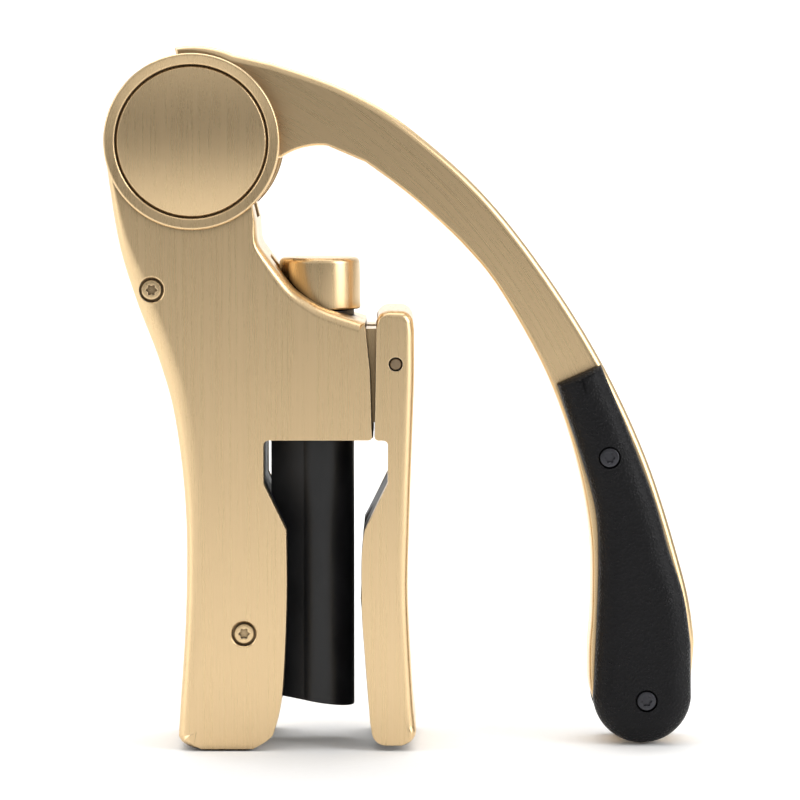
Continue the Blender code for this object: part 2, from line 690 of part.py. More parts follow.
def rack(tooth_z):
    """Toothed bar that the pinion lifts, with a foot under the worm carrier."""
    pitch = math.pi * MODULE
    slope = math.tan(math.radians(20))
    half = pitch / 4 - BACKLASH / 2
    tip, root = RACK_PITCH_X - MODULE, RACK_PITCH_X + 1.25 * MODULE
    first = math.ceil((RACK_BOTTOM + half + 1.25 * slope - tooth_z) / pitch)
    last = math.floor((RACK_TOP - half - 1.25 * slope - tooth_z) / pitch)
    edge = [(root, RACK_BOTTOM)]
    for k in range(first, last + 1):
        z = tooth_z + k * pitch
        wide, narrow = half + 1.25 * MODULE * slope, half - MODULE * slope
        edge += [(root, z - wide), (tip, z - narrow), (tip, z + narrow), (root, z + wide)]
    back, toe = -CARRIER_RADIUS - 0.1, SCREW_X + 1.3
    shelf, sole = CARRIER_BOTTOM - GAP, CARRIER_BOTTOM - GAP - 3.0
    edge += [(root, RACK_TOP), (back, RACK_TOP), (back, shelf), (toe, shelf), (toe, sole),
             (back, sole), (back, RACK_BOTTOM)]
    bar = prism("rack", edge, -GEAR_HALF_WIDTH, GEAR_HALF_WIDTH, bright())
    bm = bmesh.new()
    low, high = sole - 4, shelf + 2
    for y in (-SCREW_Y, SCREW_Y):
        add_lathe(bm, [(0, low), (1.0, low), (1.0, high), (0, high)], (SCREW_X, y), "Z", 12)
    combine(bar, add_object("rack_holes", bm, None), "DIFFERENCE")


def carriage_pieces(tooth_z):
    """Rack and the block that carries the worm."""
    rack(tooth_z)
    outline = arc((0, 0), CARRIER_RADIUS, -152, 152, 20)
    low, high = CARRIER_BOTTOM, CARRIER_BOTTOM + CARRIER_THICKNESS
    block = prism("worm_carrier", outline, low, high, brass(), "Z")
    bm = bmesh.new()
    bore = SHANK_RADIUS + GAP
    add_lathe(bm, [(0, low - 3), (bore, low - 3), (bore, high + 3), (0, high + 3)], (0, 0), "Z", 20)
    for y in (-SCREW_Y, SCREW_Y):
        add_lathe(bm, [(0, low - 1), (1.0, low - 1), (1.0, low + 3.5), (0, low + 3.5)],
                  (SCREW_X, y), "Z", 12)
    combine(block, add_object("worm_carrier_holes", bm, None), "DIFFERENCE")
    under = low - GAP - 3.0 - 0.4
    for number, y in enumerate((-SCREW_Y, SCREW_Y), 1):
        lathe("rack_screw_%d" % number,
              [(0, under - 1.3), (1.3, under - 1.3), (1.3, under), (0.7, under),
               (0.7, low + 3.1), (0, low + 3.1)], (SCREW_X, y), steel(), "Z", 12)


def worm():
    """Open coil with a pointed tip, a straight shank and a flange at the top; right-handed."""
    per_turn = 20
    steps = int((HELIX_TOP - WORM_TIP) / WORM_LEAD * per_turn)
    fade = per_turn * 0.6
    centres, radii = [], []
    for i in range(steps + 1):
        z = WORM_TIP + (HELIX_TOP - WORM_TIP) * i / steps
        turn = 2 * math.pi * (z - LUG_Z) / WORM_LEAD + math.pi
        left = min(1.0, (steps - i) / fade)
        ease = left * left * (3 - 2 * left)
        reach = WORM_CENTRE * ease
        centres.append(Vector((reach * math.cos(turn), reach * math.sin(turn), z)))
        point = min(1.0, (i + 1.5) / (per_turn * 0.5))
        radii.append((WIRE_RADIUS * ease + SHANK_RADIUS * (1 - ease)) * point)
    flange = CARRIER_BOTTOM + CARRIER_THICKNESS + GAP
    for z, radius in ((HELIX_TOP + 2, SHANK_RADIUS), (flange, SHANK_RADIUS),
                      (flange, FLANGE_RADIUS), (RACK_TOP - 0.4, FLANGE_RADIUS)):
        centres.append(Vector((0, 0, z)))
        radii.append(radius)
    bm = bmesh.new()
    add_wire(bm, centres, radii)
    add_object("worm", bm, bright())


def worm_pieces():
    """Worm and the collar that holds it in its carrier."""
    worm()
    lathe("worm_collar", sleeve(SHANK_RADIUS + 1.8, SHANK_RADIUS + GAP, CARRIER_BOTTOM - 2.7,
                                CARRIER_BOTTOM - GAP), (0, 0), steel(), "Z", 20)


def guide_tube():
    """Black tube round the worm, open along its keel for the rack and the pinion."""
    inner = TUBE_RADIUS - TUBE_WALL
    slit = GEAR_HALF_WIDTH + 0.5
    bm = bmesh.new()
    outline = arc((0, 0), TUBE_RADIUS, -118, 118, 22) + [(KEEL_LEFT, KEEL_HALF), (KEEL_LEFT, slit)]
    edge = 180 - math.degrees(math.asin(slit / inner))
    outline += arc((0, 0), inner, edge, -edge, 24) + [(KEEL_LEFT, -slit), (KEEL_LEFT, -KEEL_HALF)]
    add_prism(bm, outline, TUBE_BOTTOM, TUBE_TOP, "Z")
    for vert in bm.verts:
        if vert.co.z < TUBE_BOTTOM + 1:
            vert.co.z += (TUBE_RADIUS - vert.co.x) * TUBE_SLANT
    add_object("guide_tube", bm, black())


def sleeve_pieces():
    """Guide tube, the knob on it and the nut that turns the worm."""
    guide_tube()
    shoulder = [(KNOB_RADIUS - 2.0 + x, KNOB_TOP - 1.7 + z)
                for x, z in arc((0, 0), 1.6, 0, 80, 4)]
    lathe("tube_knob",
          [(0, KNOB_BOTTOM), (KNOB_RADIUS - 0.4, KNOB_BOTTOM), (KNOB_RADIUS, KNOB_BOTTOM + 0.4)]
          + shoulder + [(0, KNOB_TOP)], (0, 0), gold(), "Z", 40)
    low, high = LUG_Z - 2.0, LUG_Z + 2.0
    nut = lathe("worm_nut", sleeve(CARRIER_RADIUS, 4.8, low, high), (0, 0), brass(), "Z", 28)
    bm = bmesh.new()
    lug = arc((0, 0), 2.4, -14, 14, 2) + arc((0, 0), 5.6, 14, -14, 2)
    add_prism(bm, lug, LUG_Z - 1.2, LUG_Z + 1.2, "Z")
    combine(nut, add_object("worm_nut_lug", bm, None), "UNION")


# ---------------------------------------------------------------- clamp jaw

def clamp_jaw():
    """Hinged jaw with a fork at the top for the body's tongue."""
    edge = [(17.8, JAW_TOP - 10.8), (11.8, JAW_TOP - 23.0), (11.0, 39.1), (11.8, 24.8),
            (13.2, 7.0)]
    outer = smooth([(24.7, PIN_Z + 8.4), (24.7, PIN_Z - 4.0), (24.2, JAW_TOP + 0.3),
                    (23.5, JAW_TOP - 20.4), (23.1, 39.1), (24.4, 13.1), (25.2, 5.2)], 2)
    outline, shares = joined([
        (arc((18.4, PIN_Z + 10.2), 3.6, 170, 90, 4), 0.3, 1.0),
        (arc((20.9, PIN_Z + 10.2), 3.8, 70, 0, 4) + outer, 1.0, 1.0),
        (arc((21.4, 4.8), 3.8, 0, -90, 4), 0.8, SHARP),
        (arc((17.4, 4.8), 3.8, -90, -180, 4), SHARP, SHARP),
        (edge[::-1], SHARP, SHARP),
        (arc((16.6, JAW_TOP - 1.2), 1.2, 0, 90, 3), SHARP, SHARP),
        (arc((15.4, JAW_TOP + 1.0), 1.0, 270, 180, 3), SHARP, SHARP),
        ([(14.9, PIN_Z + 9.0)], SHARP, SHARP)])
    origin = (PIN_X, 0, PIN_Z)
    jaw = prism("clamp_jaw", outline, -BODY_HALF_DEPTH, BODY_HALF_DEPTH, gold(), origin=origin,
                low_round=JAW_ROUND, high_round=JAW_ROUND, shares=shares)
    depth = BODY_HALF_DEPTH - PLATE
    fork = [(8.0, JAW_TOP + 4), (23.2, JAW_TOP + 4), (23.2, PIN_Z + 11.9), (8.0, PIN_Z + 11.9)]
    combine(jaw, prism("clamp_jaw_fork", fork, -depth, depth, None), "DIFFERENCE")
    back = 23.1 - JAW_WALL
    room = [(8.0, -5.0), (back, -5.0), (back, JAW_TOP - 1.5), (8.0, JAW_TOP - 1.5)]
    combine(jaw, prism("clamp_jaw_room", room, -depth, depth, None), "DIFFERENCE")
    bored(jaw, (PIN_X, PIN_Z), PIN_RADIUS + GAP, BODY_HALF_DEPTH + 2)
    proud = [(17.8 + GAP, edge[0][1])] + [(x - 0.2, z) for x, z in edge[1:3]] + [
        (x + GAP, z) for x, z in edge[3:]]
    liner("clamp_jaw_pad", back - GAP, proud, JAW_TOP - 2.0, origin)


def jaw_spring():
    """Torsion spring round the hinge pin; its legs push the jaw shut."""
    upper_leg, lower_leg = 9.0, 4.9
    path = [Vector((SPRING_RADIUS, SPRING_HALF, upper_leg * (1 - i / 3))) for i in range(3)]
    steps = int(SPRING_TURNS * 16)
    for i in range(steps + 1):
        angle = -2 * math.pi * SPRING_TURNS * i / steps
        path.append(Vector((SPRING_RADIUS * math.cos(angle), SPRING_HALF * (1 - 2 * i / steps),
                            SPRING_RADIUS * math.sin(angle))))
    path += [Vector((-lower_leg * i / 2, -SPRING_HALF, -SPRING_RADIUS)) for i in (1, 2)]
    pin = Vector((PIN_X, 0, PIN_Z))
    bm = bmesh.new()
    add_wire(bm, [pin + p for p in path], [SPRING_WIRE] * len(path), 6)
    add_object("jaw_spring", bm, bright(), pin)


def main():
    clear_scene()
    drive, idler, pinion, tooth_z = phases()
    fixed_pieces()
    lever_pieces(drive)
    gear("idler_gear", IDLER, IDLER_TEETH, idler, brass(), SMALL_AXLE + GAP)
    gear("pinion_gear", PINION, PINION_TEETH, pinion, bright(), SMALL_AXLE + GAP)
    carriage_pieces(tooth_z)
    worm_pieces()
    sleeve_pieces()
    clamp_jaw()
    jaw_spring()
    centre_on_origin()


def centre_on_origin():
    """Move everything so the assembly stands centred over the origin."""
    bpy.context.view_layer.update()
    corners = [obj.matrix_world @ vert.co for obj in bpy.data.objects
               if not obj.hide_render for vert in obj.data.vertices]
    shift = Vector((-(min(c.x for c in corners) + max(c.x for c in corners)) / 2, 0,
                    -min(c.z for c in corners)))
    for obj in bpy.data.objects:
        obj.location += shift


main()
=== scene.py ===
"""Dresses a lever corkscrew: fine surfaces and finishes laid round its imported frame.

Lengths are in millimetres and become metres as meshes are made. X is measured from the
worm's axis, Z from the base, and the front looks along -Y, as in the part itself.
"""
import logging
import math
from abc import ABC, abstractmethod
from dataclasses import dataclass, field
from enum import Enum
from typing import Iterable, Sequence

import bmesh
import bpy
from mathutils import Matrix, Vector


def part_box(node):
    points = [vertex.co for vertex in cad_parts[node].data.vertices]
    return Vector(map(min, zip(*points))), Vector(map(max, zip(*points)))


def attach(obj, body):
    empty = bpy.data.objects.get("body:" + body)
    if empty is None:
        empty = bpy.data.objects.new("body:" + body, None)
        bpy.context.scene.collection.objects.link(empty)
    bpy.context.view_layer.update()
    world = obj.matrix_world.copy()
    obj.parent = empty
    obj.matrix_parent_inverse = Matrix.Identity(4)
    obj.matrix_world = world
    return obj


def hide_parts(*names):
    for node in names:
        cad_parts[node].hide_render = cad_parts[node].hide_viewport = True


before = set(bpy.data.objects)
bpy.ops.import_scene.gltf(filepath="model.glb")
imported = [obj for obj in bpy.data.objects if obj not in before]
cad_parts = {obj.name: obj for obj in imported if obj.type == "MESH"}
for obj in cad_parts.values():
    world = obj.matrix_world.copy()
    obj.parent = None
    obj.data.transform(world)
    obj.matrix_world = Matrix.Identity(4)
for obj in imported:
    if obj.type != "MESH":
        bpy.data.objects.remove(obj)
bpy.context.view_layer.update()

LOG = logging.getLogger("corkscrew")

MM = 0.001
CLEARANCE = 0.3          # gap between pieces that touch

Point = tuple[float, float]
Colour = tuple[float, float, float]


class Side(Enum):
    """The two faces of the tool."""
    FRONT = -1
    BACK = 1

    @property
    def label(self) -> str:
        """Word used in piece and node names."""
        return self.name.lower()


class Along(Enum):
    """Direction a solid is drawn out or turned along."""
    DEPTH = "Y"
    HEIGHT = "Z"


class Grain(Enum):
    """Run of the fine brush lines on a metal face, as stretches along X, Y and Z."""
    UPRIGHT = (1.0, 1.0, 110.0)
    ROUND = (1.0, 1.0, 1.0)


# ---------------------------------------------------------------- outlines

def arc(centre: Point, radius: float, start: float, end: float, steps: int) -> list[Point]:
    """Points along an arc.

    Args:
        centre: Centre of the arc.
        radius: Radius of the arc.
        start: First angle in degrees.
        end: Last angle in degrees.
        steps: Number of equal steps between them.

    Returns:
        The steps + 1 points.
    """
    turns = [math.radians(start + (end - start) * i / steps) for i in range(steps + 1)]
    return [(centre[0] + radius * math.cos(t), centre[1] + radius * math.sin(t)) for t in turns]


def ring(centre: Point, radius: float, sides: int) -> list[Point]:
    """Closed circle of points, the last one not repeated.

    Args:
        centre: Centre of the circle.
        radius: Radius of the circle.
        sides: Number of points.

    Returns:
        The points, anticlockwise.
    """
    return arc(centre, radius, 0.0, 360.0 - 360.0 / sides, sides - 1)


def flowing(points: Sequence[Point], steps: int) -> list[Point]:
    """Smooth curve through given points, without the last one.

    Args:
        points: Points the curve passes through.
        steps: Number of steps from each point to the next.

    Returns:
        Points along the curve.
    """
    ends = [points[0], *points, points[-1]]
    curve = []
    for p0, p1, p2, p3 in zip(ends, ends[1:], ends[2:], ends[3:]):
        for i in range(steps):
            t = i / steps
            curve.append(tuple(
                0.5 * (2 * b + (c - a) * t + (2 * a - 5 * b + 4 * c - d) * t * t
                       + (3 * b - a - 3 * c + d) * t ** 3)
                for a, b, c, d in zip(p0, p1, p2, p3)))
    return curve


def inset(outline: Sequence[Point], amount: float, shares: Sequence[float]) -> list[Point]:
    """Outline moved inwards with its corners kept sharp.

    Args:
        outline: Closed outline.
        amount: Distance to move it.
        shares: Share of the distance that each point moves.

    Returns:
        The moved outline, point for point.
    """
    points = [Vector(p) for p in outline]
    pairs = zip(points, points[1:] + points[:1])
    turn = math.copysign(1.0, sum(a.x * b.y - b.x * a.y for a, b in pairs))
    moved = []
    for i, point in enumerate(points):
        before = (point - points[i - 1]).normalized()
        after = (points[(i + 1) % len(points)] - point).normalized()
        first, second = Vector((-before.y, before.x)), Vector((-after.y, after.x))
        shift = (first + second) * (turn * amount * shares[i] / (1 + first.dot(second)))
        moved.append((point.x + shift.x, point.y + shift.y))
    return moved


@dataclass(frozen=True)
class Run:
    """Stretch of an outline, with the share of the edge rounding at its two ends."""
    points: Sequence[Point]
    first: float = 1.0
    last: float = 1.0

    def shares(self) -> list[float]:
        """Share of the rounding at each point."""
        count = max(1, len(self.points) - 1)
        return [self.first + (self.last - self.first) * i / count for i in range(len(self.points))]


SHARP = 0.05             # share of the rounding left on an edge that looks sharp


@dataclass(frozen=True)
class Edge:
    """Rounding along the edge of a drawn-out solid's end face.

    reach is how far the rounding runs in over the face, drop how far down the side.
    """
    reach: float = 0.0
    drop: float = 0.0
    steps: int = 6

    @classmethod
    def radius(cls, size: float, steps: int = 6) -> "Edge":
        """Plain quarter-round edge."""
        return cls(size, size, steps)

    def stops(self, end: float, inward: int) -> list[tuple[float, float]]:
        """Levels and insets of the rounding, from the side to the face.

        Args:
            end: Level of the end face.
            inward: +1 or -1, the way from the end face into the solid.

        Returns:
            Pairs of level and inset.
        """
        if not self.reach:
            return [(end, 0.0)]
        turns = [math.pi / 2 * i / self.steps for i in range(self.steps + 1)]
        return [(end + inward * self.drop * (1 - math.sin(t)), self.reach * (1 - math.cos(t)))
                for t in turns]


# ---------------------------------------------------------------- solids

class Blank:
    """A solid being shaped, in millimetres from the worm's axis."""

    def __init__(self) -> None:
        """Start with nothing."""
        self.bm = bmesh.new()

    def place(self, across: float, level: float, other: float, along: Along) -> bmesh.types.BMVert:
        """Add one point.

        Args:
            across: X of the point.
            level: Its distance along the drawing direction.
            other: Its third coordinate.
            along: The drawing direction.

        Returns:
            The new vertex.
        """
        spot = (across, level, other) if along is Along.DEPTH else (across, other, level)
        return self.bm.verts.new(spot)

    def skin(self, rings: Sequence[Sequence[bmesh.types.BMVert]], closed: bool = False) -> None:
        """Cover the space between neighbouring rings; a ring of one point is a tip.

        Args:
            rings: Rings of vertices, each as long as the others or one point long.
            closed: True to join the last ring to the first.
        """
        pairs = list(zip(rings, rings[1:]))
        if closed:
            pairs.append((rings[-1], rings[0]))
        for lower, upper in pairs:
            sides = max(len(lower), len(upper))
            for i in range(sides):
                j = (i + 1) % sides
                corners = [lower[i % len(lower)], lower[j % len(lower)],
                           upper[j % len(upper)], upper[i % len(upper)]]
                distinct = list(dict.fromkeys(corners))
                if len(distinct) > 2:
                    self.bm.faces.new(distinct)

    def draw_runs(self, runs: Sequence[Run], low: float, high: float, low_edge: Edge = Edge(),
                  high_edge: Edge = Edge()) -> "Blank":
        """Draw runs out along the depth, each with its own share of the rounding.

        Args:
            runs: Runs that make a closed outline.
            low: Level of the first end.
            high: Level of the second end.
            low_edge: Rounding of the first end.
            high_edge: Rounding of the second end.

        Returns:
            This blank.
        """
        outline = [point for run in runs for point in run.points]
        shares = [share for run in runs for share in run.shares()]
        return self.draw_out(outline, low, high, Along.DEPTH, low_edge, high_edge, shares)

    def draw_out(self, outline: Sequence[Point], low: float, high: float,
                 along: Along = Along.DEPTH, low_edge: Edge = Edge(),
                 high_edge: Edge = Edge(), shares: Sequence[float] = ()) -> "Blank":
        """Draw an outline out into a solid with rounded end edges.

        Args:
            outline: Closed outline, X and Z along the depth or X and Y along the height.
            low: Level of the first end.
            high: Level of the second end; it may be below the first.
            along: The drawing direction.
            low_edge: Rounding of the first end.
            high_edge: Rounding of the second end.
            shares: Share of the rounding at each point; all of it where none are given.

        Returns:
            This blank.
        """
        shares = shares or [1.0] * len(outline)
        way = 1 if high > low else -1
        stops = low_edge.stops(low, way)[::-1] + high_edge.stops(high, -way)
        rings = []
        for level, amount in stops:
            spots = inset(outline, amount, shares) if amount else outline
            rings.append([self.place(x, level, z, along) for x, z in spots])
        self.skin(rings)
        self.bm.faces.new(rings[0])
        self.bm.faces.new(rings[-1])
        return self

    def turn(self, profile: Sequence[Point], centre: Point, along: Along = Along.DEPTH,
             sides: int = 96) -> "Blank":
        """Turn a profile round an axis.

        Args:
            profile: Radius and level pairs from one end to the other. One that starts and
                ends on radius 0 gives a plain solid, any other a ring.
            centre: Where the axis passes.
            along: Direction of the axis.
            sides: Number of facets.

        Returns:
            This blank.
        """
        rings = []
        for radius, level in profile:
            spots = ring(centre, radius, sides) if radius else [centre]
            rings.append([self.place(a, level, b, along) for a, b in spots])
        self.skin(rings, closed=profile[0][0] != 0)
        return self

    def bend(self, centres: Sequence[Vector], radii: Sequence[float], sides: int = 14) -> "Blank":
        """Round wire through a list of points.

        Args:
            centres: Points along the middle of the wire.
            radii: Radius of the wire at each point.
            sides: Number of facets round it.

        Returns:
            This blank.
        """
        rings = []
        across = Vector((1, 0, 0))
        last = len(centres) - 1
        for i, (centre, radius) in enumerate(zip(centres, radii)):
            step = 1
            while (centres[min(i + step, last)] - centres[max(i - step, 0)]).length < 0.01:
                step += 1
            ahead = (centres[min(i + step, last)] - centres[max(i - step, 0)]).normalized()
            across = (across - ahead * across.dot(ahead)).normalized()
            upward = ahead.cross(across)
            rings.append([self.bm.verts.new(centre + (across * c + upward * s) * radius)
                          for c, s in ring((0.0, 0.0), 1.0, sides)])
        self.skin(rings)
        self.bm.faces.new(rings[0])
        self.bm.faces.new(rings[-1])
        return self

    def cast(self, name: str, shift: float) -> bpy.types.Object:
        """Make the object, in metres and in the row frame.

        Args:
            name: Name of the object.
            shift: X of the worm's axis in the row frame.

        Returns:
            The new object, linked to the scene.
        """
        bmesh.ops.recalc_face_normals(self.bm, faces=self.bm.faces)
        self.bm.transform(Matrix.Scale(MM, 4) @ Matrix.Translation((shift, 0, 0)))
        mesh = bpy.data.meshes.new(name)
        self.bm.to_mesh(mesh)
        self.bm.free()
        obj = bpy.data.objects.new(name, mesh)
        bpy.context.scene.collection.objects.link(obj)
        return obj


def rounded_rod(radius: float, low: float, high: float, edge: float = 0.3) -> list[Point]:
    """Profile of a rod whose two ends have quarter-round edges.

    Args:
        radius: Radius of the rod.
        low: Level of one end.
        high: Level of the other.
        edge: Radius of the edges.

    Returns:
        Radius and level pairs.
    """
    way = math.copysign(1.0, high - low)
    foot = [(radius - edge + x, low + way * (edge + y))
            for x, y in arc((0.0, 0.0), edge, -90, 0, 4)]
    head = [(radius - edge + x, high - way * (edge - y))
            for x, y in arc((0.0, 0.0), edge, 0, 90, 4)]
    return [(0.0, low), *foot, *head, (0.0, high)]


def plain_hole(radius: float, low: float, high: float) -> list[Point]:
    """Profile of a round cutter."""
    return [(0.0, low), (radius, low), (radius, high), (0.0, high)]


# ---------------------------------------------------------------- finishes

class NodeSheet:
    """Node tree of one finish, built a node at a time."""

    def __init__(self, name: str) -> None:
        """Start a material.

        Args:
            name: Name of the material.
        """
        self.material = bpy.data.materials.new(name)
        self.material.use_nodes = True
        self.tree = self.material.node_tree
        self.shader = self.tree.nodes["Principled BSDF"]

    def add(self, kind: str, inputs: dict[str, object] | None = None,
            **settings: object) -> bpy.types.Node:
        """Add a node.

        Args:
            kind: Node type without its ShaderNode prefix.
            inputs: Values or output sockets for its inputs, by name.
            settings: Attributes to set on the node.

        Returns:
            The new node.
        """
        node = self.tree.nodes.new("ShaderNode" + kind)
        for key, value in settings.items():
            setattr(node, key, value)
        for key, value in (inputs or {}).items():
            self.feed(node.inputs[key], value)
        return node

    def feed(self, socket: bpy.types.NodeSocket, value: object) -> None:
        """Link an output to a socket, or set the socket's own value.

        Args:
            socket: Input socket to feed.
            value: Output socket, or the value itself.
        """
        if isinstance(value, bpy.types.NodeSocket):
            self.tree.links.new(value, socket)
        else:
            socket.default_value = value

    def spread(self, sizes: Sequence[float],
               centre: Sequence[float] = (0, 0, 0)) -> bpy.types.NodeSocket:
        """Object coordinates counted in steps of the given sizes.

        Args:
            sizes: Size of one step along X, Y and Z, in millimetres.
            centre: Point counted from, in metres.

        Returns:
            The coordinate output.
        """
        coordinates = self.add("TexCoord")
        moved = self.add("VectorMath", {0: coordinates.outputs["Object"], 1: tuple(centre)},
                         operation="SUBTRACT")
        scale = tuple(1.0 / (size * MM) for size in sizes)
        return self.add("VectorMath", {0: moved.outputs[0], 1: scale},
                        operation="MULTIPLY").outputs[0]

    def noise(self, vector: bpy.types.NodeSocket, detail: float = 2.0,
              roughness: float = 0.5, distortion: float = 0.0) -> bpy.types.NodeSocket:
        """Noise of unit scale over the given coordinates."""
        node = self.add("TexNoise", {"Vector": vector, "Scale": 1.0, "Detail": detail,
                                     "Roughness": roughness, "Distortion": distortion})
        return node.outputs["Fac"]

    def remap(self, value: bpy.types.NodeSocket, low: float, high: float,
              to_low: float, to_high: float) -> bpy.types.NodeSocket:
        """Straight-line remap of a value, held at both ends."""
        node = self.add("MapRange", {"Value": value, "From Min": low, "From Max": high,
                                     "To Min": to_low, "To Max": to_high})
        return node.outputs["Result"]

    def maths(self, operation: str, first: object, second: object = 0.0) -> bpy.types.NodeSocket:
        """One step of arithmetic on two values."""
        return self.add("Math", {0: first, 1: second}, operation=operation).outputs[0]

    def blend(self, factor: object, first: object, second: object) -> bpy.types.NodeSocket:
        """Blend of two colours.

        Args:
            factor: Share of the second colour.
            first: First colour or colour output.
            second: Second colour or colour output.

        Returns:
            The blended colour output.
        """
        node = self.add("Mix", data_type="RGBA")
        for index, value in ((0, factor), (6, first), (7, second)):
            self.feed(node.inputs[index], (*value, 1.0) if isinstance(value, tuple) else value)
        return node.outputs[2]

    def soft_corner(self, radius: float) -> bpy.types.NodeSocket:
        """Normal that turns smoothly over edges, as if they were rounded."""
        return self.add("Bevel", {"Radius": radius * MM}, samples=6).outputs["Normal"]

    def worn_edge(self, corner: bpy.types.NodeSocket, low: float = 0.02,
                  high: float = 0.25) -> bpy.types.NodeSocket:
        """Mask that is 1 along edges, where the finishes paint a highlight.

        Args:
            corner: Output of soft_corner.
            low: Departure from the true normal at which the painted highlight starts.
            high: Departure at which it is full.

        Returns:
            The mask output.
        """
        true = self.add("NewGeometry").outputs["Normal"]
        along = self.add("VectorMath", {0: corner, 1: true}, operation="DOT_PRODUCT")
        away = self.maths("SUBTRACT", 1.0, along.outputs["Value"])
        return self.remap(away, low, high, 0.0, 1.0)

    def groove_shade_mask(self, reach: float) -> bpy.types.NodeSocket:
        """Mask that is 1 down in narrow grooves and 0 on open faces, for painting shade there."""
        node = self.add("AmbientOcclusion", {"Distance": reach * MM}, samples=6)
        return self.remap(node.outputs["AO"], 0.30, 0.85, 1.0, 0.0)

    def emboss(self, height: bpy.types.NodeSocket, depth: float,
               normal: bpy.types.NodeSocket | None = None) -> bpy.types.NodeSocket:
        """Bump from a height.

        Args:
            height: Height output, 0 to 1.
            depth: Depth of a height of 1, in millimetres.
            normal: Normal output to start from.

        Returns:
            The bumped normal output.
        """
        node = self.add("Bump", {"Height": height, "Distance": depth * MM, "Strength": 1.0})
        if normal is not None:
            self.feed(node.inputs["Normal"], normal)
        return node.outputs["Normal"]


class Finish(ABC):
    """A surface finish, made into a material once and then shared."""

    made: dict["Finish", bpy.types.Material] = {}
    slot: str

    @abstractmethod
    def draw(self) -> bpy.types.Material:
        """Build the material's nodes."""

    def material(self) -> bpy.types.Material:
        """The finish's material, built on first use."""
        if self not in Finish.made:
            Finish.made[self] = self.draw()
        return Finish.made[self]


@dataclass(frozen=True)
class BrushedMetal(Finish):
    """Plated metal with fine brush lines, smoother along its edges, with a painted highlight along
    the edges and painted shade in the grooves.
    """
    name: str = "satin_gold"
    slot: str = "satin_gold"
    colour: Colour = (0.79, 0.585, 0.340)
    shade: Colour = (0.75, 0.550, 0.310)
    # painted highlight: lighter gold along the edges
    painted_edge_highlight: Colour = (0.92, 0.74, 0.52)
    # painted shade: dark colour blended into narrow grooves, where shade falls
    painted_groove_shade: Colour = (0.10, 0.062, 0.032)
    roughness: float = 0.28
    edge_roughness: float = 0.20
    grain: Grain = Grain.UPRIGHT
    pivot: Point | None = None   # middle of the arcs the lines follow, in the row frame
    line: float = 0.13           # width of a brush line
    depth: float = 0.0004        # depth of a brush line
    corner: float = 0.28         # reach of the rounded-looking edge and its painted highlight
    turn_reach: float = 0.18     # metres along a line for each radian round the pivot

    def draw(self) -> bpy.types.Material:
        """Build the material's nodes.

        Returns:
            The new material.
        """
        sheet = NodeSheet(self.name + "_" + self.grain.name.lower())
        steps = self.spread_lines(sheet, self.line)
        lines = sheet.noise(steps, detail=3.0, roughness=0.65)
        broad = sheet.noise(self.spread_lines(sheet, self.line * 6.0), detail=1.0)
        cloud = sheet.noise(sheet.spread((26.0, 26.0, 26.0)), detail=2.0)
        corner = sheet.soft_corner(self.corner)
        edge_highlight = sheet.worn_edge(corner)
        tone = sheet.maths("ADD", sheet.maths("MULTIPLY", lines, 0.55),
                           sheet.maths("MULTIPLY", broad, 0.45))
        colour = sheet.blend(sheet.remap(tone, 0.36, 0.64, 0.0, 1.0), self.shade, self.colour)
        colour = sheet.blend(sheet.remap(cloud, 0.3, 0.7, 0.0, 0.22), colour, self.shade)
        # painted highlight along the edges; below, the same mask also makes the edges smoother
        colour = sheet.blend(sheet.maths("MULTIPLY", edge_highlight, 0.7), colour, self.painted_edge_highlight)
        # painted shade in grooves and gaps, from an ambient occlusion mask
        colour = sheet.blend(sheet.maths("MULTIPLY", sheet.groove_shade_mask(3.0), 0.9), colour, self.painted_groove_shade)
        flat = sheet.remap(tone, 0.35, 0.65, self.roughness - 0.015, self.roughness + 0.015)
        rough = sheet.maths("SUBTRACT", flat, sheet.maths(
            "MULTIPLY", edge_highlight, self.roughness - self.edge_roughness))
        sheet.feed(sheet.shader.inputs["Base Color"], colour)
        sheet.feed(sheet.shader.inputs["Roughness"], rough)
        sheet.feed(sheet.shader.inputs["Normal"], sheet.emboss(lines, self.depth, corner))
        sheet.shader.inputs["Metallic"].default_value = 1.0
        return sheet.material

    def spread_lines(self, sheet: NodeSheet, width: float) -> bpy.types.NodeSocket:
        """Coordinates stretched along the brush lines.

        Args:
            sheet: Node sheet being drawn.
            width: Width of a line, in millimetres.

        Returns:
            The coordinate output.
        """
        place = sheet.add("TexCoord").outputs["Object"]
        if self.pivot is not None:
            place = self.swept(sheet, place)
        scale = tuple(1.0 / (width * stretch * MM) for stretch in self.grain.value)
        return sheet.add("VectorMath", {0: place, 1: scale}, operation="MULTIPLY").outputs[0]

    def swept(self, sheet: NodeSheet, place: bpy.types.NodeSocket) -> bpy.types.NodeSocket:
        """Coordinates that run round the pivot: distance from it, depth, and way round.

        Args:
            sheet: Node sheet being drawn.
            place: Plain coordinate output.

        Returns:
            The coordinate output, in metres.
        """
        parts = sheet.add("SeparateXYZ", {0: place}).outputs
        across = sheet.maths("SUBTRACT", parts["X"], self.pivot[0])
        upward = sheet.maths("SUBTRACT", parts["Z"], self.pivot[1])
        away = sheet.maths("SQRT", sheet.maths("ADD", sheet.maths("MULTIPLY", across, across),
                                               sheet.maths("MULTIPLY", upward, upward)))
        round_way = sheet.maths("MULTIPLY", sheet.maths("ARCTAN2", upward, across),
                                self.turn_reach)
        return sheet.add("CombineXYZ", {"X": away, "Y": parts["Y"], "Z": round_way}).outputs[0]


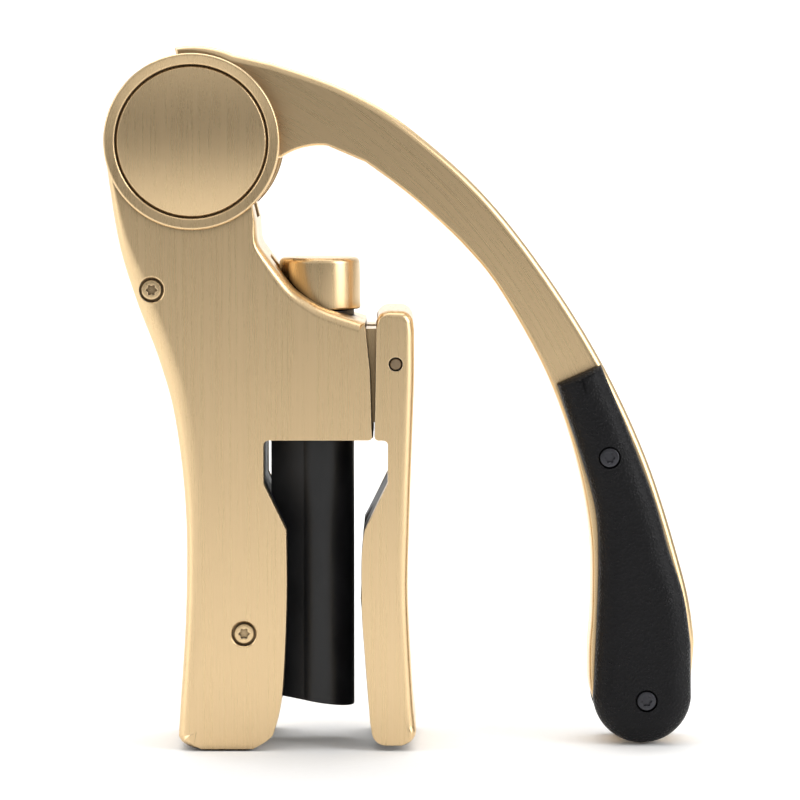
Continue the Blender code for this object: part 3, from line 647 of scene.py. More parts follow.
@dataclass(frozen=True)
class TurnedMetal(Finish):
    """Bare metal with the faint rings a lathe tool leaves round an axis."""
    name: str
    slot: str
    colour: Colour
    centre: tuple[float, float, float]
    along: Along = Along.DEPTH
    roughness: float = 0.30
    pitch: float = 0.22          # distance between tool rings
    depth: float = 0.004

    def draw(self) -> bpy.types.Material:
        """Build the material's nodes.

        Returns:
            The new material.
        """
        sheet = NodeSheet("%s_%d_%d_%d" % (self.name, *(round(c / MM) for c in self.centre)))
        away = sheet.spread((1.0, 1.0, 1.0), self.centre)
        flatten = (1.0, 0.0, 1.0) if self.along is Along.DEPTH else (1.0, 1.0, 0.0)
        level = (0.0, 1.0, 0.0) if self.along is Along.DEPTH else (0.0, 0.0, 1.0)
        across = sheet.add("VectorMath", {0: away, 1: flatten}, operation="MULTIPLY").outputs[0]
        radius = sheet.add("VectorMath", {0: across}, operation="LENGTH").outputs["Value"]
        height = sheet.add("VectorMath", {0: away, 1: level}, operation="DOT_PRODUCT")
        travel = sheet.maths("ADD", radius, height.outputs["Value"])
        rings = sheet.maths("SINE", sheet.maths("MULTIPLY", travel, 2 * math.pi / self.pitch))
        speck = sheet.noise(sheet.spread((0.5, 0.5, 0.5)), detail=4.0, roughness=0.7)
        stain = sheet.noise(sheet.spread((5.0, 5.0, 5.0)), detail=3.0)
        corner = sheet.soft_corner(0.18)
        edge_highlight = sheet.worn_edge(corner)
        height = sheet.maths("ADD", sheet.maths("MULTIPLY", rings, 0.25),
                             sheet.maths("MULTIPLY", speck, 0.6))
        dark = tuple(c * 0.72 for c in self.colour)
        # lighter copy of the colour, painted along the edges as a highlight
        light = tuple(min(1.0, c * 1.25) for c in self.colour)
        colour = sheet.blend(sheet.remap(stain, 0.35, 0.7, 0.0, 1.0), self.colour, dark)
        colour = sheet.blend(sheet.maths("MULTIPLY", edge_highlight, 0.8), colour, light)
        sheet.feed(sheet.shader.inputs["Base Color"], colour)
        sheet.feed(sheet.shader.inputs["Roughness"], sheet.remap(
            speck, 0.3, 0.7, self.roughness - 0.07, self.roughness + 0.09))
        sheet.feed(sheet.shader.inputs["Normal"], sheet.emboss(height, self.depth, corner))
        sheet.shader.inputs["Metallic"].default_value = 1.0
        return sheet.material


@dataclass(frozen=True)
class Leather(Finish):
    """Black pebbled cover of the grip."""
    name: str = "pebbled_black"
    slot: str = "grip_black"
    colour: Colour = (0.0025, 0.0024, 0.0030)
    # painted light and shade: lighter pebble crests, darker cracks between pebbles
    painted_crest_light: Colour = (0.0050, 0.0047, 0.0060)
    pebble: float = 0.66         # size of one pebble
    depth: float = 0.13

    def draw(self) -> bpy.types.Material:
        """Build the material's nodes.

        Returns:
            The new material.
        """
        sheet = NodeSheet(self.name)
        place = sheet.spread((self.pebble,) * 3)
        warp = sheet.add("TexNoise", {"Vector": place, "Scale": 0.8, "Detail": 2.0})
        shaken = sheet.add("VectorMath", {0: warp.outputs["Color"], 1: (0.55, 0.55, 0.55)},
                           operation="MULTIPLY").outputs[0]
        moved = sheet.add("VectorMath", {0: place, 1: shaken}, operation="ADD").outputs[0]
        cells = sheet.add("TexVoronoi", {"Vector": moved, "Scale": 1.0, "Smoothness": 0.35},
                          feature="SMOOTH_F1")
        pebbles = sheet.remap(cells.outputs["Distance"], 0.05, 0.62, 1.0, 0.0)
        fine = sheet.noise(sheet.spread((0.16,) * 3), detail=2.0)
        wide = sheet.noise(sheet.spread((7.0,) * 3), detail=2.0)
        height = sheet.maths("ADD", sheet.maths("MULTIPLY", pebbles, 0.8),
                             sheet.maths("MULTIPLY", fine, 0.2))
        # painted shade in the cracks between pebbles, painted light on their crests
        colour = sheet.blend(pebbles, self.colour, self.painted_crest_light)
        rough = sheet.maths("ADD", sheet.remap(pebbles, 0.0, 1.0, 0.44, 0.22),
                            sheet.remap(wide, 0.3, 0.7, -0.05, 0.06))
        sheet.feed(sheet.shader.inputs["Base Color"], colour)
        sheet.feed(sheet.shader.inputs["Roughness"], rough)
        sheet.feed(sheet.shader.inputs["Normal"], sheet.emboss(height, self.depth))
        sheet.shader.inputs["Specular IOR Level"].default_value = 0.20
        return sheet.material


@dataclass(frozen=True)
class Moulded(Finish):
    """Black moulding with a fine spark-etched grain."""
    name: str = "etched_black"
    slot: str = "black_plastic"
    colour: Colour = (0.0045, 0.0045, 0.005)
    dusty: Colour = (0.012, 0.012, 0.0135)
    roughness: float = 0.34
    grain: float = 0.20          # size of one etched grain
    depth: float = 0.010
    corner: float = 0.25

    def draw(self) -> bpy.types.Material:
        """Build the material's nodes.

        Returns:
            The new material.
        """
        sheet = NodeSheet(self.name)
        etch = sheet.noise(sheet.spread((self.grain,) * 3), detail=3.0, roughness=0.6)
        cloud = sheet.noise(sheet.spread((9.0, 9.0, 16.0)), detail=3.0)
        corner = sheet.soft_corner(self.corner)
        edge_highlight = sheet.worn_edge(corner)
        colour = sheet.blend(sheet.remap(cloud, 0.35, 0.7, 0.0, 1.0), self.colour, self.dusty)
        # painted highlight: lighter colour along the edges
        colour = sheet.blend(edge_highlight, colour, tuple(c * 2.2 for c in self.dusty))
        rough = sheet.maths("ADD", sheet.remap(etch, 0.3, 0.7, -0.05, 0.07), sheet.remap(
            cloud, 0.3, 0.7, self.roughness - 0.02, self.roughness + 0.05))
        sheet.feed(sheet.shader.inputs["Base Color"], colour)
        sheet.feed(sheet.shader.inputs["Roughness"], rough)
        sheet.feed(sheet.shader.inputs["Normal"], sheet.emboss(etch, self.depth, corner))
        return sheet.material


GOLD_UPRIGHT = BrushedMetal()
GOLD_ALONG_ARM = BrushedMetal(name="satin_gold_arm", pivot=(-0.1184, 0.0187))
GOLD_SCREW = BrushedMetal(name="gold_screw", grain=Grain.ROUND)
LEATHER = Leather()
TUBE_BLACK = Moulded()
PAD_RUBBER = Moulded("pad_rubber", "black_rubber", (0.006, 0.0065, 0.0085), (0.011, 0.012, 0.015),
                     roughness=0.50, grain=0.35, depth=0.030)
STEEL_COLOUR: Colour = (0.56, 0.56, 0.58)
DARK_STEEL_COLOUR: Colour = (0.065, 0.065, 0.072)
BRASS_COLOUR: Colour = (0.74, 0.54, 0.24)
BRONZE_COLOUR: Colour = (0.30, 0.22, 0.14)


# ---------------------------------------------------------------- frame

def middle(node: str) -> Vector:
    """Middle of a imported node's box, in millimetres in the row frame."""
    low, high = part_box(node)
    return (low + high) / (2 * MM)


@dataclass(frozen=True)
class Places:
    """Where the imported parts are, in millimetres with X from the worm's axis."""
    worm_x: float
    axle: Point
    idler: Point
    pinion: Point
    hinge: Point
    body_screws: tuple[Point, Point]
    grip_screws: tuple[Point, Point]
    half_depth: float
    head_radius: float
    tube_bottom: float
    knob_bottom: float
    knob_top: float

    @classmethod
    def read(cls) -> "Places":
        """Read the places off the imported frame.

        Returns:
            The places.
        """
        worm_x = middle("tube_knob").x

        def spot(node: str) -> Point:
            """Middle of a node seen from the front."""
            centre = middle(node)
            return centre.x - worm_x, centre.z

        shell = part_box("front_shell")
        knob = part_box("tube_knob")
        axle = spot("lever_axle")
        return cls(
            worm_x=worm_x, axle=axle, idler=spot("idler_axle"), pinion=spot("pinion_axle"),
            hinge=spot("jaw_pin"),
            body_screws=(spot("body_screw_upper"), spot("body_screw_lower")),
            grip_screws=(spot("grip_screw_upper"), spot("grip_screw_lower")),
            half_depth=-shell[0].y / MM, head_radius=shell[1].z / MM - axle[1],
            tube_bottom=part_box("guide_tube")[0].z / MM,
            knob_bottom=knob[0].z / MM, knob_top=knob[1].z / MM)

    def world(self, spot: Point, depth: float = 0.0) -> tuple[float, float, float]:
        """A place seen from the front, in metres in the row frame."""
        return (spot[0] + self.worm_x) * MM, depth * MM, spot[1] * MM


class Workshop:
    """Casts blanks into pieces, cuts them and fits them to the frame."""

    def __init__(self, places: Places) -> None:
        """Keep the places that every piece is set from.

        Args:
            places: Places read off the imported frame.
        """
        self.places = places
        self.count = 0

    def carve(self, obj: bpy.types.Object, tools: Iterable[tuple[str, Blank]]) -> None:
        """Join blanks to an object or cut them from it, one after another.

        Args:
            obj: Object to work on; its mesh is replaced.
            tools: Pairs of Boolean operation and blank.
        """
        spent = []
        for operation, blank in tools:
            self.count += 1
            tool = blank.cast("tool_%d" % self.count, self.places.worm_x)
            spent.append(tool)
            cut = obj.modifiers.new("cut", "BOOLEAN")
            cut.operation = operation
            cut.solver = "EXACT"
            cut.object = tool
        if not spent:
            return
        graph = bpy.context.evaluated_depsgraph_get()
        mesh = bpy.data.meshes.new_from_object(obj.evaluated_get(graph))
        obj.modifiers.clear()
        obj.data = mesh
        for tool in spent:
            bpy.data.objects.remove(tool, do_unlink=True)

    def fit(self, name: str, blank: Blank, finish: Finish, body: str, stands_for: Sequence[str],
            tools: Iterable[tuple[str, Blank]] = (), crease: float = 32.0) -> bpy.types.Object:
        """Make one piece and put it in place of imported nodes.

        Args:
            name: Name of the piece.
            blank: Its main solid.
            finish: Its finish.
            body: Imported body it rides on.
            stands_for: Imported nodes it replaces.
            tools: Solids joined to it or cut from it.
            crease: Angle in degrees above which an edge stays sharp.

        Returns:
            The finished piece.
        """
        obj = blank.cast(name, self.places.worm_x)
        self.carve(obj, tools)
        obj.data.name = name
        obj.data.materials.clear()
        obj.data.materials.append(finish.material())
        obj.data.shade_smooth()
        obj.data.set_sharp_from_angle(angle=math.radians(crease))
        weighted = obj.modifiers.new("even_shading", "WEIGHTED_NORMAL")
        weighted.keep_sharp = True
        weighted.weight = 98
        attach(obj, body)
        if stands_for:
            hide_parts(*stands_for)
        LOG.info("%s rides on %s in %s", name, body, finish.slot)
        return obj

    def dress(self, node: str, finish: Finish) -> None:
        """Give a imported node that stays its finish.

        Args:
            node: Name of the node.
            finish: Its finish.
        """
        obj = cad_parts[node]
        obj.data.materials.clear()
        obj.data.materials.append(finish.material())
        LOG.info("%s keeps its shape in %s", node, finish.slot)

    def machined(self, node: str, along: Along = Along.DEPTH) -> TurnedMetal:
        """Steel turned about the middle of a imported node."""
        return TurnedMetal("turned_steel", "bright_steel", STEEL_COLOUR,
                           tuple(middle(node) * MM), along)

    def blackened(self, node: str, along: Along = Along.DEPTH) -> TurnedMetal:
        """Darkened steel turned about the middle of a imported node."""
        return TurnedMetal("dark_steel", "dark_steel", DARK_STEEL_COLOUR,
                           tuple(middle(node) * MM), along, roughness=0.34)

    def brass(self, node: str, along: Along = Along.DEPTH) -> TurnedMetal:
        """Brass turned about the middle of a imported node."""
        return TurnedMetal("turned_brass", "brass", BRASS_COLOUR,
                           tuple(middle(node) * MM), along, roughness=0.32)


# ---------------------------------------------------------------- body

@dataclass
class Shells:
    """The two halves of the body: head, neck, bridge and fixed jaw."""
    shop: Workshop
    plate: float = 3.0
    rim: float = 2.4
    face_edge: Edge = Edge(4.6, 3.2, 12)
    seam_edge: Edge = Edge.radius(0.25, 2)
    window_left: float = -14.0
    window_top: float = 80.2
    bridge_right: float = 13.9
    neck_radius: float = 14.4
    liner_wall: float = 1.5
    knob_radius: float = 10.7
    hub_shoulder: float = 24.7
    lever_half: float = 8.5
    screw_sink: float = 3.2
    screw_shank: float = 1.3
    insert_radius: float = 2.4
    insert_low: float = 4.7      # insert's near end, from the seam between the halves
    insert_high: float = 14.3
    axle_radius: float = 4.0
    small_axle: float = 1.6
    pin_radius: float = 1.55
    tube_radius: float = 9.0
    keel_left: float = -12.6
    keel_half: float = 5.8
    post_low: float = 4.3        # inner end of the posts and the tongue, beside the gears
    left: list[Point] = field(default_factory=lambda: [
        (-36.4, 3.2), (-36.0, 10.4), (-34.4, 36.5), (-34.4, 62.4), (-37.0, 85.7),
        (-41.1, 101.1), (-46.9, 116.6), (-51.4, 131.9), (-54.6, 153.1)])
    neck: list[Point] = field(default_factory=lambda: [
        (-15.8, 136.8), (-15.4, 131.6), (-13.7, 128.6), (-9.8, 123.4), (-6.2, 119.1),
        (-1.6, 115.9), (3.0, 113.6), (12.1, 110.6)])
    jaw: list[Point] = field(default_factory=lambda: [
        (-14.0, 69.2), (-8.2, 57.2), (-8.1, 39.1), (-9.2, 15.7), (-11.3, 5.2),
        (-13.1, 2.4), (-17.0, 0.0)])

    def runs(self) -> list[Run]:
        """Body seen from the front: soft on its outside, sharp beside the window.

        Returns:
            The runs of its closed outline.
        """
        places = self.shop.places
        left = flowing(self.left, 8)
        top, right = self.window_top, self.bridge_right
        return [
            Run([(-30.5, 0.0), (-32.6, 0.15), (-34.2, 0.8), (-35.6, 1.8)], SHARP, 0.6),
            Run(left[:-14]), Run(left[-14:], 1.0, 0.2),
            Run(arc(places.axle, places.head_radius, 185, -46, 84), SHARP, SHARP),
            Run(flowing(self.neck[:4], 6), 0.2, 0.55), Run(flowing(self.neck[3:], 6), 0.55, 0.6),
            Run([self.neck[-1], (13.4, 98.0)], SHARP, SHARP),
            Run(arc((right - 1.0, top + 1.0), 1.0, 0, -90, 8), SHARP, SHARP),
            Run(arc((self.window_left + 1.2, top - 1.2), 1.2, 90, 180, 8), SHARP, SHARP),
            Run(self.jaw[:1] + flowing(self.jaw[1:], 5) + self.jaw[-1:], SHARP, SHARP)]

    def pocket(self) -> list[Point]:
        """Hollow inside a half, open towards the lever and the window.

        Returns:
            Its closed outline, seen from the front.
        """
        places = self.shop.places
        wall = [(x + self.rim, z) for x, z in self.left[4:8]]
        roof = [(x - 0.64 * self.rim, z - 0.77 * self.rim) for x, z in self.neck[2:7]]
        top = self.window_top
        inner = self.bridge_right - self.rim
        return ([(-17.3, 142.2), (-17.4, 140.2), (-17.2, 131.5)] + roof
                + [(inner, 107.6), (inner, top - 8), (-16.0, top - 8), (-16.0, top + 4.6),
                   (-31.5, top + 4.6)]
                + wall + arc(places.axle, places.head_radius - self.rim, 200, 62, 40)
                + [(-20.0, 182.0), (2.0, 176.0), (2.0, 148.0), (-8.0, 142.2)])

    def tube_way(self) -> list[Point]:
        """Passage for the guide tube, seen from above."""
        radius = self.tube_radius + CLEARANCE
        keel, half = self.keel_left - CLEARANCE, self.keel_half + CLEARANCE
        return arc((0.0, 0.0), radius, -118, 118, 48) + [(keel, half), (keel, -half)]

    def bosses(self, way: int) -> Blank:
        """Posts for the axles and screws and the tongue that carries the hinge pin.

        Args:
            way: -1 for the front half, +1 for the back half.

        Returns:
            The solids to join to the half.
        """
        places = self.shop.places
        inner = way * (places.half_depth - self.plate + 0.5)
        tongue = arc(places.hinge, 3.0, -90, 60, 16) + [
            (15.5, 109.0), (12.2, 109.0), (12.4, 80.7), (14.1, 80.7), (14.1, 84.8),
            (15.0, 84.8), (15.6, 93.5)]
        blank = Blank().draw_out(tongue, way * self.post_low, way * 16.5)
        for centre, radius in ((places.idler, 3.2), (places.pinion, 3.4)):
            blank.turn(plain_hole(radius, way * self.post_low, inner), centre, sides=48)
        return blank.turn(plain_hole(3.3, way * 0.15, inner), places.body_screws[0], sides=48)

    def holes(self, way: int) -> Blank:
        """Bores for the axles, the hinge pin and the screws.

        Args:
            way: -1 for the front half, +1 for the back half.

        Returns:
            The solids to cut from the half.
        """
        places = self.shop.places
        face = way * places.half_depth
        blank = Blank()
        blank.turn(plain_hole(self.axle_radius + CLEARANCE, way * 12, face + way), places.axle)
        for centre in (places.idler, places.pinion):
            blank.turn(plain_hole(self.small_axle + CLEARANCE, way * 2, face - way * 1.2), centre,
                       sides=40)
        blank.turn(plain_hole(self.pin_radius + CLEARANCE, -way, way * 18), places.hinge, sides=48)
        head, shank = self.screw_sink, self.screw_shank + CLEARANCE
        if way < 0:
            sink = [(0.0, 2.0), (shank, 2.0), (shank, face + 2.4), (head, face + 2.4),
                    (head, face + 0.3), (head + 0.3, face), (head + 0.3, face - 1),
                    (0.0, face - 1)]
        else:
            sink = [(0.0, -2.0), (shank, -2.0), (shank, self.insert_low),
                    (self.insert_radius, self.insert_low),
                    (self.insert_radius, self.insert_high), (0.0, self.insert_high)]
        for centre in places.body_screws:
            blank.turn(sink, centre, sides=64)
        return blank

    def build(self, side: Side) -> None:
        """Make one half.

        Args:
            side: Which half.
        """
        places, way = self.shop.places, side.value
        face = way * places.half_depth
        half = Blank().draw_runs(self.runs(), way * 0.15, face, self.seam_edge, self.face_edge)
        back = -self.neck_radius - self.liner_wall - CLEARANCE
        depth = places.half_depth - self.plate
        room = [(back, -depth), (self.bridge_right + 1, -depth), (self.bridge_right + 1, depth),
                (back, depth)]
        seat = places.knob_bottom - CLEARANCE
        slot = self.hub_shoulder + 0.9
        tools = [
            ("DIFFERENCE", Blank().draw_out(self.pocket(), -way, face - way * self.plate)),
            ("DIFFERENCE", Blank().draw_out(room, -5.0, self.window_top + 0.9, Along.HEIGHT)),
            ("DIFFERENCE", Blank().turn(plain_hole(self.knob_radius + CLEARANCE, seat,
                                                   places.knob_top + 6),
                                        (0.0, 0.0), Along.HEIGHT, 96)),
            ("DIFFERENCE", Blank().draw_out(self.tube_way(), self.window_top - 6,
                                            places.knob_top + 24, Along.HEIGHT)),
            ("DIFFERENCE", Blank().turn(plain_hole(slot, -way, way * self.lever_half),
                                        places.axle)),
            ("UNION", self.bosses(way)),
            ("DIFFERENCE", self.holes(way)),
        ]
        self.shop.fit("body_half_" + side.label, half, GOLD_UPRIGHT, "body",
                      (side.label + "_shell",), tools)


@dataclass
class HeadTrim:
    """Raised ring and plain crowned cap over each face of the head."""
    shop: Workshop
    ring_radius: float = 22.55
    cap_radius: float = 19.4
    ring_face: float = 21.8
    cap_face: float = 22.5
    crown: float = 1.0           # how much lower the cap is at its rim
    chamfer: float = 0.55

    def ring_profile(self, way: int, base: float) -> list[Point]:
        """Ring with a rounded outer rim and a face that dips a little towards the cap.

        Args:
            way: -1 for the front, +1 for the back.
            base: Level the ring stands on.

        Returns:
            Radius and level pairs.
        """
        face, inner = way * self.ring_face, self.cap_radius + CLEARANCE
        rim = [(self.ring_radius - 0.6 + x, face - way * (0.6 - y))
               for x, y in arc((0.0, 0.0), 0.6, 0, 90, 6)]
        return [(inner, base), (self.ring_radius, base), *rim,
                (inner + 0.25, face - way * 0.22), (inner, face - way * 0.45)]

    def cap_profile(self, way: int, base: float) -> list[Point]:
        """Cap with a bright chamfer round a gently crowned face.

        Args:
            way: -1 for the front, +1 for the back.
            base: Level the cap stands on.

        Returns:
            Radius and level pairs.
        """
        edge = self.cap_radius - self.chamfer
        crown = [(edge * (1 - i / 10), way * (self.cap_face - self.crown * (1 - i / 10) ** 2))
                 for i in range(11)]
        low = way * (self.cap_face - self.crown - self.chamfer)
        return [(0.0, base), (self.cap_radius, base), (self.cap_radius, low), *crown[:-1],
                (0.0, way * self.cap_face)]

    def build(self, side: Side) -> None:
        """Make the ring and the cap of one face.

        Args:
            side: Which face.
        """
        way, axle = side.value, self.shop.places.axle
        base = way * (self.shop.places.half_depth + CLEARANCE)
        for name, node, profile in (("head_band_", "head_ring_", self.ring_profile(way, base)),
                                    ("head_disc_", "head_cap_", self.cap_profile(way, base))):
            self.shop.fit(name + side.label, Blank().turn(profile, axle, sides=160),
                          GOLD_UPRIGHT, "body", (node + side.label,))


@dataclass
class SocketScrew:
    """Cap screw along the depth with a six-lobed socket."""
    shop: Workshop
    name: str
    node: str
    body: str
    finish: Finish
    head_radius: float
    length: float
    head_height: float = 1.7
    shank: float = 1.3
    socket: float = 1.28         # middle radius of the six-lobed socket
    lobe: float = 0.2            # how far its lobes go out and in from there
    socket_depth: float = 1.15

    def build(self) -> None:
        """Make the screw in place of its node."""
        spot = middle(self.node)
        centre = (spot.x - self.shop.places.worm_x, spot.z)
        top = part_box(self.node)[0].y / MM
        r, h = self.head_radius, self.head_height
        dome = [(r - 0.35 + x, top + 0.35 - y) for x, y in arc((0.0, 0.0), 0.35, 90, 0, 4)]
        profile = [(0.0, top), (r - 0.9, top), *dome, (r, top + h), (self.shank, top + h),
                   (self.shank, top + self.length - 0.4), (self.shank - 0.4, top + self.length),
                   (0.0, top + self.length)]
        lobes = [(centre[0] + s * math.cos(t), centre[1] + s * math.sin(t))
                 for t, s in ((2 * math.pi * i / 72,
                               self.socket + self.lobe * math.cos(12 * math.pi * i / 72))
                              for i in range(72))]
        socket = Blank().draw_out(lobes, top + self.socket_depth, top - 0.5)
        self.shop.fit(self.name, Blank().turn(profile, centre, sides=64), self.finish, self.body,
                      (self.node,), [("DIFFERENCE", socket)])


@dataclass
class Lining:
    """Rubber liner that fills one jaw behind its face plates, bored for the neck."""
    shop: Workshop
    neck_radius: float = 14.4
    half_depth: float = 16.7
    low: float = 5.0
    bore_half: float = 82.0      # half of the angle the bore spans
    body_back: float = -15.9     # X of the fixed lining's back
    body_high: float = 80.9      # height of its top
    jaw_back: float = 20.3
    jaw_high: float = 78.2

    def build(self, name: str, node: str, body: str, back: float, edge: Sequence[Point],
              high: float) -> None:
        """Make one lining in place of its node.

        Args:
            name: Name of the piece.
            node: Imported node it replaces.
            body: Body it rides on.
            back: X of its flat back.
            edge: Its edge beside the window, from the top down.
            high: Height of its top.
        """
        side, depth = math.copysign(1.0, back), self.half_depth
        facing = 0.0 if side > 0 else 180.0
        bore = arc((0.0, 0.0), self.neck_radius, facing + self.bore_half,
                   facing - self.bore_half, 60)
        outline = [(back, -side * depth), (back, side * depth), (bore[0][0], side * depth),
                   *bore, (bore[-1][0], -side * depth)]
        trim = [(edge[0][0], high + 5), *edge, (edge[-1][0], -5.0), (-side * 8, -5.0),
                (-side * 8, high + 5)]
        tools = [("DIFFERENCE", Blank().draw_out(trim, -depth - 2, depth + 2))]
        self.shop.fit(name, Blank().draw_out(outline, self.low, high, Along.HEIGHT), PAD_RUBBER,
                      body, (node,), tools)


# ---------------------------------------------------------------- lever

@dataclass
class LeverArm:
    """Curved arm with a forked hub at one end and a thinned handle at the other."""
    shop: Workshop
    half_depth: float = 7.0
    edge: Edge = Edge(2.1, 1.9, 9)
    hub_radius: float = 18.8
    hub_shoulder: float = 24.7
    fork_radius: float = 20.4
    fork_half: float = 4.3
    axle_radius: float = 4.0
    rivet_circle: float = 11.0
    rivet_hole: float = 1.8
    rivet_angles: tuple[float, float] = (40, 220)
    screw_hole: float = 1.6
    under: list[Point] = field(default_factory=lambda: [
        (12.0, 151.6), (20.5, 145.4), (28.3, 138.9), (38.2, 129.4), (47.0, 118.4), (58.8, 97.4),
        (66.4, 76.5), (70.6, 55.5), (71.1, 36.0), (70.4, 24.0), (70.8, 14.0), (73.2, 7.4)])
    over: list[Point] = field(default_factory=lambda: [
        (97.8, 22.1), (97.8, 29.2), (94.7, 45.0), (84.5, 76.5), (68.7, 107.9), (46.2, 139.4),
        (23.6, 160.4), (6.0, 170.9), (-13.1, 177.7)])

    def runs(self) -> list[Run]:
        """Arm seen from the front: round the hub, down the underside and back over the top.

        Returns:
            The runs of its closed outline.
        """
        axle = self.shop.places.axle
        return [Run(arc(axle, self.hub_radius, 102, 344, 80), 0.3, 0.3),
                Run(arc((0.3, 138.1), 17.8, 124, 84, 14), 0.3, 0.3),
                Run(flowing(self.under, 10), 0.3, 0.5),
                Run(arc((84.6, 13.2), 12.4, 215, 350, 34)), Run(flowing(self.over, 12)),
                Run(arc(axle, self.hub_shoulder, 66, 102, 16), 1.0, 0.4)]

    def build(self) -> None:
        """Make the arm in place of its node."""
        places = self.shop.places
        blank = Blank().draw_runs(self.runs(), -self.half_depth, self.half_depth, self.edge,
                                  self.edge)
        fork = Blank().turn(plain_hole(self.fork_radius, -self.fork_half, self.fork_half),
                            places.axle)
        holes = Blank()
        deep = self.half_depth + 2
        spots = [(places.axle, self.axle_radius + CLEARANCE)]
        spots += [(arc(places.axle, self.rivet_circle, angle, angle, 1)[0], self.rivet_hole)
                  for angle in self.rivet_angles]
        spots += [(spot, self.screw_hole) for spot in places.grip_screws]
        for centre, radius in spots:
            holes.turn(plain_hole(radius, -deep, deep), centre, sides=40)
        self.shop.fit("arm", blank, GOLD_ALONG_ARM, "lever", ("lever_arm",),
                      [("DIFFERENCE", fork), ("DIFFERENCE", holes)])


@dataclass
class GripCover:
    """Crowned black cover on one face of the handle."""
    shop: Workshop
    base: float = 7.3
    face: float = 12.5
    crown: Edge = Edge(6.2, 4.4, 14)
    screw_sink: float = 2.9      # hole for the screw's head, in the front cover
    screw_seat: float = 10.3     # level the head sits at
    screw_hole: float = 1.6
    nut_hole: float = 2.4
    left: list[Point] = field(default_factory=lambda: [
        (61.9, 94.1), (64.3, 86.3), (68.2, 74.8), (71.9, 61.5), (72.8, 48.1), (72.4, 32.0),
        (71.7, 15.0)])
    right: list[Point] = field(default_factory=lambda: [
        (97.0, 25.7), (95.1, 38.5), (91.3, 50.2), (87.5, 63.3), (82.8, 75.8), (78.7, 86.0),
        (73.2, 99.1)])

    def outline(self) -> list[Point]:
        """Cover seen from the front."""
        return (flowing(self.left, 8) + arc((84.3, 12.9), 12.9, 183, 355, 44)
                + flowing(self.right, 8) + self.right[-1:])

    def build(self, side: Side) -> None:
        """Make one cover in place of its node.

        Args:
            side: Which face of the handle.
        """
        way = side.value
        cover = Blank().draw_out(self.outline(), way * self.base, way * self.face,
                                 high_edge=self.crown)
        if side is Side.FRONT:
            head, hole, seat = self.screw_sink, self.screw_hole, -self.screw_seat
            profile = [(0.0, -15.0), (head, -15.0), (head, seat), (hole, seat), (hole, -6.0),
                       (0.0, -6.0)]
        else:
            profile = plain_hole(self.nut_hole, 6.0, 15.0)
        holes = Blank()
        for centre in self.shop.places.grip_screws:
            holes.turn(profile, centre, sides=48)
        self.shop.fit("grip_cover_" + side.label, cover, LEATHER, "lever", ("grip_" + side.label,),
                      [("DIFFERENCE", holes)])


# ---------------------------------------------------------------- sleeve, worm and jaw

@dataclass
class Sleeve:
    """Guide tube with a keel, and the knob on its top."""
    shop: Workshop
    radius: float = 9.0
    wall: float = 1.4
    keel_left: float = -12.6
    keel_half: float = 5.8
    slit: float = 4.5
    tube_top: float = 113.1
    slant: float = 0.16          # rise of the tube's lower edge towards the keel
    knob_radius: float = 10.7

    def build(self) -> None:
        """Make the tube and the knob in place of their nodes."""
        places, inner = self.shop.places, self.radius - self.wall
        edge = 180 - math.degrees(math.asin(self.slit / inner))
        outline = (arc((0.0, 0.0), self.radius, -118, 118, 96)
                   + [(self.keel_left, self.keel_half), (self.keel_left, self.slit)]
                   + arc((0.0, 0.0), inner, edge, -edge, 72)
                   + [(self.keel_left, -self.slit), (self.keel_left, -self.keel_half)])
        tube = Blank().draw_out(outline, places.tube_bottom, self.tube_top, Along.HEIGHT,
                                low_edge=Edge.radius(0.45, 4))
        for vert in tube.bm.verts:
            if vert.co.z < places.tube_bottom + 1:
                vert.co.z += (self.radius - vert.co.x) * self.slant
        self.shop.fit("tube", tube, TUBE_BLACK, "sleeve", ("guide_tube",))
        low, top, r = places.knob_bottom, places.knob_top, self.knob_radius
        crown = [(r - 1.7 + x, top - 1.6 + y) for x, y in arc((0.0, 0.0), 1.5, 0, 84, 10)]
        profile = [(0.0, low), (r - 0.5, low), (r - 0.15, low + 0.2), (r, low + 0.6),
                   (r - 0.1, top - 4.5), *crown, (4.0, top - 0.03), (0.0, top)]
        self.shop.fit("knob", Blank().turn(profile, (0.0, 0.0), Along.HEIGHT, 128), GOLD_UPRIGHT,
                      "sleeve", ("tube_knob",))


@dataclass
class WormCoil:
    """Open right-handed coil with a ground point, a shank and a flange."""
    shop: Workshop
    lead: float = 9.6            # rise of one turn
    centre: float = 3.0          # radius of the wire's middle
    wire: float = 1.2            # radius of the wire
    shank: float = 2.0
    flange: float = 4.5
    tip: float = 12.5            # height of the point
    helix_top: float = 74.0
    lug: float = 15.0            # height of the nut's lug, which the coil passes
    flange_low: float = 109.6
    top: float = 112.6
    per_turn: int = 44           # facets along one turn of the coil

    def build(self) -> None:
        """Make the worm in place of its node."""
        steps = int((self.helix_top - self.tip) / self.lead * self.per_turn)
        fade = self.per_turn * 0.6
        centres, radii = [], []
        for i in range(steps + 1):
            z = self.tip + (self.helix_top - self.tip) * i / steps
            turn = 2 * math.pi * (z - self.lug) / self.lead + math.pi
            left = min(1.0, (steps - i) / fade)
            ease = left * left * (3 - 2 * left)
            reach = self.centre * ease
            point = min(1.0, (i + 3.3) / (self.per_turn * 0.5))
            centres.append(Vector((reach * math.cos(turn), reach * math.sin(turn), z)))
            radii.append((self.wire * ease + self.shank * (1 - ease)) * point)
        for z, radius in ((self.helix_top + 2, self.shank), (self.flange_low, self.shank),
                          (self.flange_low, self.flange), (self.top, self.flange)):
            centres.append(Vector((0, 0, z)))
            radii.append(radius)
        self.shop.fit("worm_coil", Blank().bend(centres, radii, 18),
                      self.shop.machined("worm_collar", Along.HEIGHT), "worm", ("worm",))


